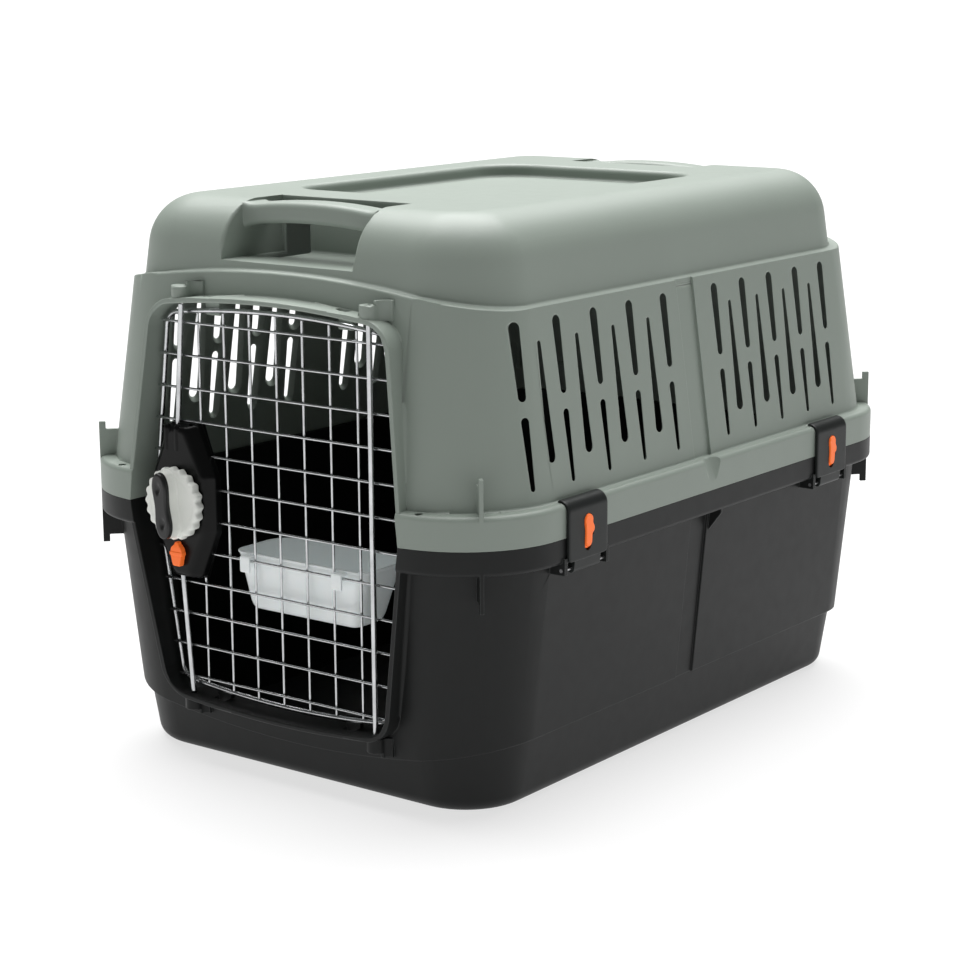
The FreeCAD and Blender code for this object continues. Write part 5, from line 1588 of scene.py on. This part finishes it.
@dataclass
class Knob:
    """The light-grey scalloped disc, its curved boss and the black grip cap, in millimetres."""

    pale: Material
    black: Material
    turned: Tree
    middle: Pair = LATCH_MIDDLE
    around: int = 240
    lobes: int = 20
    lobe_depth: float = 2.3
    lobe_start: float = 28.0
    half_length: float = 30.0
    half_width: float = 9.6
    waist: float = 1.9
    waist_turn: float = 1.35
    sway: float = 2.3
    sway_turn: float = 1.45
    steps: int = 32
    disc: tuple[Pair, ...] = (
        (0, -337.8), (24, -337.8), (30.6, -337.8), (32.0, -338.3), (32.8, -339.4), (33, -341),
        (33, -344), (32.7, -345.4), (31.8, -346.4), (30.2, -346.8), (27, -346.8), (25.8, -346.5),
        (24.6, -346.1), (12, -346.1), (0, -346.1),
    )
    boss: tuple[Pair, ...] = (
        (-345.6, -1.6), (-346.2, -1.4), (-347.0, -0.5), (-348.0, 0.0), (-354.6, 0.4), (-355.1, 0.6),
        (-355.3, 1.1),
    )
    cap: tuple[Pair, ...] = (
        (-355.1, 1.2), (-355.4, 0.5), (-355.8, 0.2), (-358.6, 0.3), (-359.7, 0.7), (-360.4, 1.4),
        (-360.7, 2.3),
    )
    cap_rows: int = 24
    cap_middle: float = 0.6
    cap_crease: float = 50.0
    dimple: float = 1.6
    dimple_place: float = 15.5
    dimple_size: Pair = (4.2, 7.0)

    def outline(self) -> list[Pair]:
        """The boss's outline: two lobes, swayed to opposite sides.

        Returns:
            Its points round the knob's middle.
        """
        right, left = [], []
        for k in range(self.steps + 1):
            z = -math.cos(math.pi * k / self.steps)
            waisted = self.half_width - self.waist * math.cos(self.waist_turn * z) ** 6
            width = waisted * math.sqrt(max(0.0, 1 - z**4))
            shift = -self.sway * math.sin(self.sway_turn * z)
            right.append((shift + width, z * self.half_length))
            left.append((shift - width, z * self.half_length))
        return right[:-1] + left[:0:-1]

    def ring(self, y: float, draw: float) -> list[Triple]:
        """The outline at a depth, drawn in by some millimetres."""
        x0, z0 = self.middle
        return [(x0 + x, y, z0 + z) for x, z in grown(self.outline(), -draw)]

    def grip(self) -> None:
        """Makes the cap with a thumb dimple on each lobe."""
        rings = [self.ring(y, draw) for y, draw in self.cap]
        x0, z0 = self.middle
        wide, tall = self.dimple_size
        last = rings[-1]
        for k in range(1, self.cap_rows + 1):
            scale = 1 - k / (self.cap_rows + self.cap_middle)
            row = []
            for x, y, z in last:
                dx, dz = (x - x0) * scale, (z - z0) * scale
                gaps = [((dx + i * self.sway) / wide, (dz - i * self.dimple_place) / tall) for i in (-1, 1)]
                far = min(math.hypot(*gap) for gap in gaps)
                dip = 0.5 + 0.5 * math.cos(math.pi * min(1.0, far))
                row.append((x0 + dx, y + self.dimple * dip, z0 + dz))
            rings.append(row)
        made = solid("knob_grip_shaped", loft(rings), math.radians(self.cap_crease))
        hand_over(made, self.black, "knob", "knob_grip")

    def build(self) -> None:
        """Makes the disc with its boss, and the cap."""
        seed = point_mesh("knob_profile", [(r * MM, 0, y * MM) for r, y in self.disc])
        scallops = {"Lobe_Depth": self.lobe_depth * MM, "Lobe_Start": self.lobe_start * MM}
        made = self.turned.grow(
            "knob_disc_turned", seed, Around=self.around, Lobes=self.lobes, Material=self.pale, **scallops
        )
        x0, z0 = self.middle
        made.data.transform(Matrix.Translation((x0 * MM, 0, z0 * MM)))
        cut(made, loft([self.ring(y, draw) for y, draw in self.boss]), Join.ADD)
        hand_over(made, self.pale, "knob", "knob_disc")
        self.grip()


@dataclass
class SideClip:
    """One hinged clip with its orange key and hinge pin, in millimetres."""

    end: End
    side: Side
    dark: Material
    accent: Material
    steel: Material
    front_place: float = -214.0
    rear_place: float = 201.0
    half_width: float = 28.3
    outer: float = 251.7
    inner: float = 248.5
    tip: float = 239.6
    tip_ease: tuple[Pair, ...] = ((0.8, 0.0), (0.2, 0.5))
    inner_draw: float = 0.4
    low: float = 219.6
    top: float = 270.5
    high: float = 272.6
    lip: float = 10.4
    lip_inside: float = 7.5
    foot: float = 1.6
    hinge: Pair = (246.0, 213.5)
    barrel_radius: float = 4.0
    barrel_half: float = 19.0
    barrel_web: float = 6.0
    barrel_inset: Pair = (0.5, 0.2)
    barrel_from: float = -190.0
    ends: tuple[Triple, ...] = (
        (1.0, 0.9, 6.0), (0.99, 0.4, 3.8), (0.965, 0.1, 2.0), (0.92, 0.0, 0.7), (0.84, 0.0, 0.0),
    )
    key_middle: float = 243.5
    key_travel: float = -2.8
    key_gap: float = 0.55
    key_opening: tuple[Pair, ...] = ((247.6, 0), (256.0, 0))
    key_rungs: tuple[Pair, ...] = ((249.7, 0), (252.2, 0), (252.8, 0.25), (253.1, 0.8))
    key_back: Pair = (248.7, 249.9)
    key_back_half: float = 6.6
    key_back_height: Pair = (227.6, 259.4)
    key_back_round: float = 6.0
    key_points: tuple[Pair, ...] = (
        (-0.6, 14.0), (-4.2, 12.6), (-6.1, 9.4), (-5.3, 5.4), (-5.0, -1.5), (-5.4, -9.0), (-4.6, -12.2),
        (-1.6, -13.9), (1.6, -13.0), (3.4, -10.0), (4.1, -3.6), (6.4, -1.4), (6.9, 2.2), (5.0, 5.8),
        (4.9, 9.6), (3.0, 12.8),
    )

    @property
    def tag(self) -> str:
        """The clip's place as the nodes name it."""
        return f"{self.end.name.lower()}_{self.side.name.lower()}"

    @property
    def place(self) -> float:
        """The clip's middle along Y."""
        return self.front_place if self.end is End.FRONT else self.rear_place

    def upright(self, outline: Iterable[Pair], y: float) -> list[Triple]:
        """An outline in X and Z on the clip's own side, at a place along Y."""
        return [(x * self.side.value, y, z) for x, z in outline]

    def arc(self, x: float, z: float, radius: float) -> list[Pair]:
        """A quarter round from an upright face at x to a level one at z."""
        turns = [math.pi / 2 * k / 12 for k in range(13)]
        return [(x - radius + radius * math.cos(a), z - radius + radius * math.sin(a)) for a in turns]

    def section(self, draw: float, lift: float) -> list[Pair]:
        """The plate's outline in X and Z.

        Args:
            draw: How far it is drawn in.
            lift: How far its foot is lifted.

        Returns:
            Its points.
        """
        outer, high, low = self.outer - draw, self.high - draw, self.low + lift
        inner, foot, tip = self.inner + self.inner_draw * draw, self.foot, self.tip
        points = [(inner, low), (outer - foot, low)]
        for a in (math.pi / 2 * k / 6 for k in range(1, 7)):
            points.append((outer - foot + foot * math.sin(a), low + foot - foot * math.cos(a)))
        points += self.arc(outer, high, self.lip)
        points += [(tip + x, high - z) for x, z in self.tip_ease]
        return points + [(tip, self.top), *reversed(self.arc(inner, self.top, self.lip_inside))]

    def barrel(self) -> list[Pair]:
        """The hinge barrel's outline in X and Z, with its web to the plate.

        Returns:
            Its points.
        """
        x0, z0 = self.hinge
        radius, web = self.barrel_radius, self.low + self.barrel_web
        turns = [math.radians(self.barrel_from + 10 * k) for k in range(20)]
        points = [(x0 + radius * math.cos(a), z0 + radius * math.sin(a)) for a in turns]
        outside, inside = self.barrel_inset
        return points + [(self.outer - outside, web), (self.inner + inside, web)]

    def plate(self) -> Object:
        """The bent plate over the rim, with the hinge barrel under it.

        Returns:
            The solid.
        """
        rings = []
        for along, draw, lift in end_to_end(self.ends):
            rings.append(self.upright(self.section(draw, lift), self.place + along * self.half_width))
        made = solid(f"clip_{self.tag}_shaped", loft(rings))
        ends = [self.place - self.barrel_half, self.place + self.barrel_half]
        cut(made, loft([self.upright(self.barrel(), y) for y in ends]), Join.ADD)
        return made

    def key_block(self, extra: float, shift: float, rungs: Sequence[Pair]) -> BMesh:
        """A key-shaped block.

        Args:
            extra: How much wider than the key it is.
            shift: How far it is shifted upwards.
            rungs: Distances from the middle plane, and the draw at each.

        Returns:
            Its mesh data.
        """
        side = self.side.value
        outline = [
            (self.place + y * side, self.key_middle + z + shift)
            for y, z in grown(curve_through(self.key_points), extra)
        ]
        return loft([[(x * side, y, z) for y, z in grown(outline, -draw)] for x, draw in rungs])

    def build(self) -> None:
        """Makes the clip and its key, and plates the pin."""
        clip = self.plate()
        for shift in (0.0, self.key_travel):
            cut(clip, self.key_block(self.key_gap, shift, self.key_opening), Join.REMOVE)
        hand_over(clip, self.dark, f"clip_{self.tag}", f"clip_{self.tag}")
        bm = self.key_block(0.0, 0.0, self.key_rungs)
        near, far = sorted(x * self.side.value for x in self.key_back)
        half, (low, high) = self.key_back_half, self.key_back_height
        bar((near, self.place - half, low), (far, self.place + half, high), self.key_back_round, bm)
        key = solid(f"clip_key_{self.tag}_shaped", bm)
        hand_over(key, self.accent, f"key_{self.tag}", f"clip_key_{self.tag}")
        keep(self.steel, f"clip_pin_{self.tag}")


@dataclass
class Bowl:
    """The milky bowl with its thin lip and the two hooks that hang it on the mesh, in millimetres."""

    finish: Material
    middle: float = 17.0
    half_width: float = 75.0
    front: float = -318.3
    depth: float = 66.0
    base: float = 150.0
    height: float = 53.0
    taper: float = 12.0
    front_corner: float = 11.0
    rear_corner: float = 23.0
    least_corner: float = 2.0
    front_taper: float = 3.0
    hooks: Pair = (-37.7, 68.1)
    hook_half: float = 5.5
    hook_ease: Pair = (0.4, 0.35)
    hook_outline: tuple[Pair, ...] = (
        (-317.4, 198.6), (-325.0, 198.6), (-325.0, 187.4), (-325.5, 186.6), (-326.7, 186.6),
        (-327.2, 187.4), (-327.2, 199.4), (-326.9, 200.2), (-326.2, 200.8), (-317.4, 201.4),
    )
    outside: tuple[Pair, ...] = (
        (0.0, 14.0), (0.0, 7.0), (0.5, 4.2), (1.8, 2.0), (4.2, 0.6), (8.0, 0.0), (30.0, 0.0),
        (50.2, 0.0), (50.8, -0.8), (51.6, -1.1), (52.6, -0.9), (53.0, -0.2),
    )
    inside: tuple[Pair, ...] = (
        (53.0, 1.2), (52.6, 1.7), (51.6, 1.8), (30.0, 1.8), (9.4, 1.9), (5.6, 2.6), (3.2, 4.2),
        (2.1, 6.6), (1.8, 9.5), (1.8, 16.0),
    )

    def ring(self, up: float, draw: float) -> list[Triple]:
        """A rounded outline at a height above the base.

        Args:
            up: The height.
            draw: How far it is drawn in from the tapered wall.

        Returns:
            Its points.
        """
        lean = self.taper * (1 - up / self.height)
        half = self.half_width - (lean + draw)
        front = self.front + lean / self.front_taper + draw
        rear = self.front + self.depth - (lean + draw)
        near, far = (max(self.least_corner, r - draw) for r in (self.front_corner, self.rear_corner))
        corners = (
            (half - near, front + near, near), (half - far, rear - far, far),
            (-half + far, rear - far, far), (-half + near, front + near, near),
        )
        points: list[Triple] = []
        for index, (x, y, radius) in enumerate(corners):
            for a in (math.pi / 2 * (index - 1 + k / 8) for k in range(9)):
                spot = (self.middle + x + radius * math.cos(a), y + radius * math.sin(a))
                points.append((*spot, self.base + up))
        return points

    def build(self) -> None:
        """Makes the bowl and its hooks."""
        bm = loft([self.ring(up, draw) for up, draw in self.outside + self.inside])
        inset, draw = self.hook_ease
        full, eased = self.hook_outline, grown(self.hook_outline, -draw)
        for middle in self.hooks:
            low, high = middle - self.hook_half, middle + self.hook_half
            rungs = ((low, eased), (low + inset, full), (high - inset, full), (high, eased))
            loft([[(x, y, z) for y, z in outline] for x, outline in rungs], bm)
        hand_over(solid("bowl_moulded", bm), self.finish, "bowl", "bowl")


class Carrier:
    """The whole carrier."""

    def __init__(self, f: Finishes) -> None:
        """Lists the sub-assemblies.

        Args:
            f: The materials.
        """
        turned = turned_tree()
        self.parts = [
            Hood(f.upper),
            Tub(f.lower),
            WireDoor(f.wire, wire_tree()),
            Latch(f.housing, f.wire, f.screw, f.accent, f.knob, turned, repeat_tree()),
            Knob(f.knob, f.grip, turned),
            Bowl(f.bowl),
            *(SideClip(end, side, f.clip, f.accent, f.screw) for end in End for side in Side),
        ]

    def build(self) -> None:
        """Builds every piece."""
        for part in self.parts:
            part.build()


def main() -> None:
    """Builds the studio and the carrier."""
    logging.basicConfig(level=logging.INFO, format="%(message)s")
    Viewpoint().build()
    Studio().build()
    Carrier(Finishes()).build()


if __name__ == "__main__":
    main()
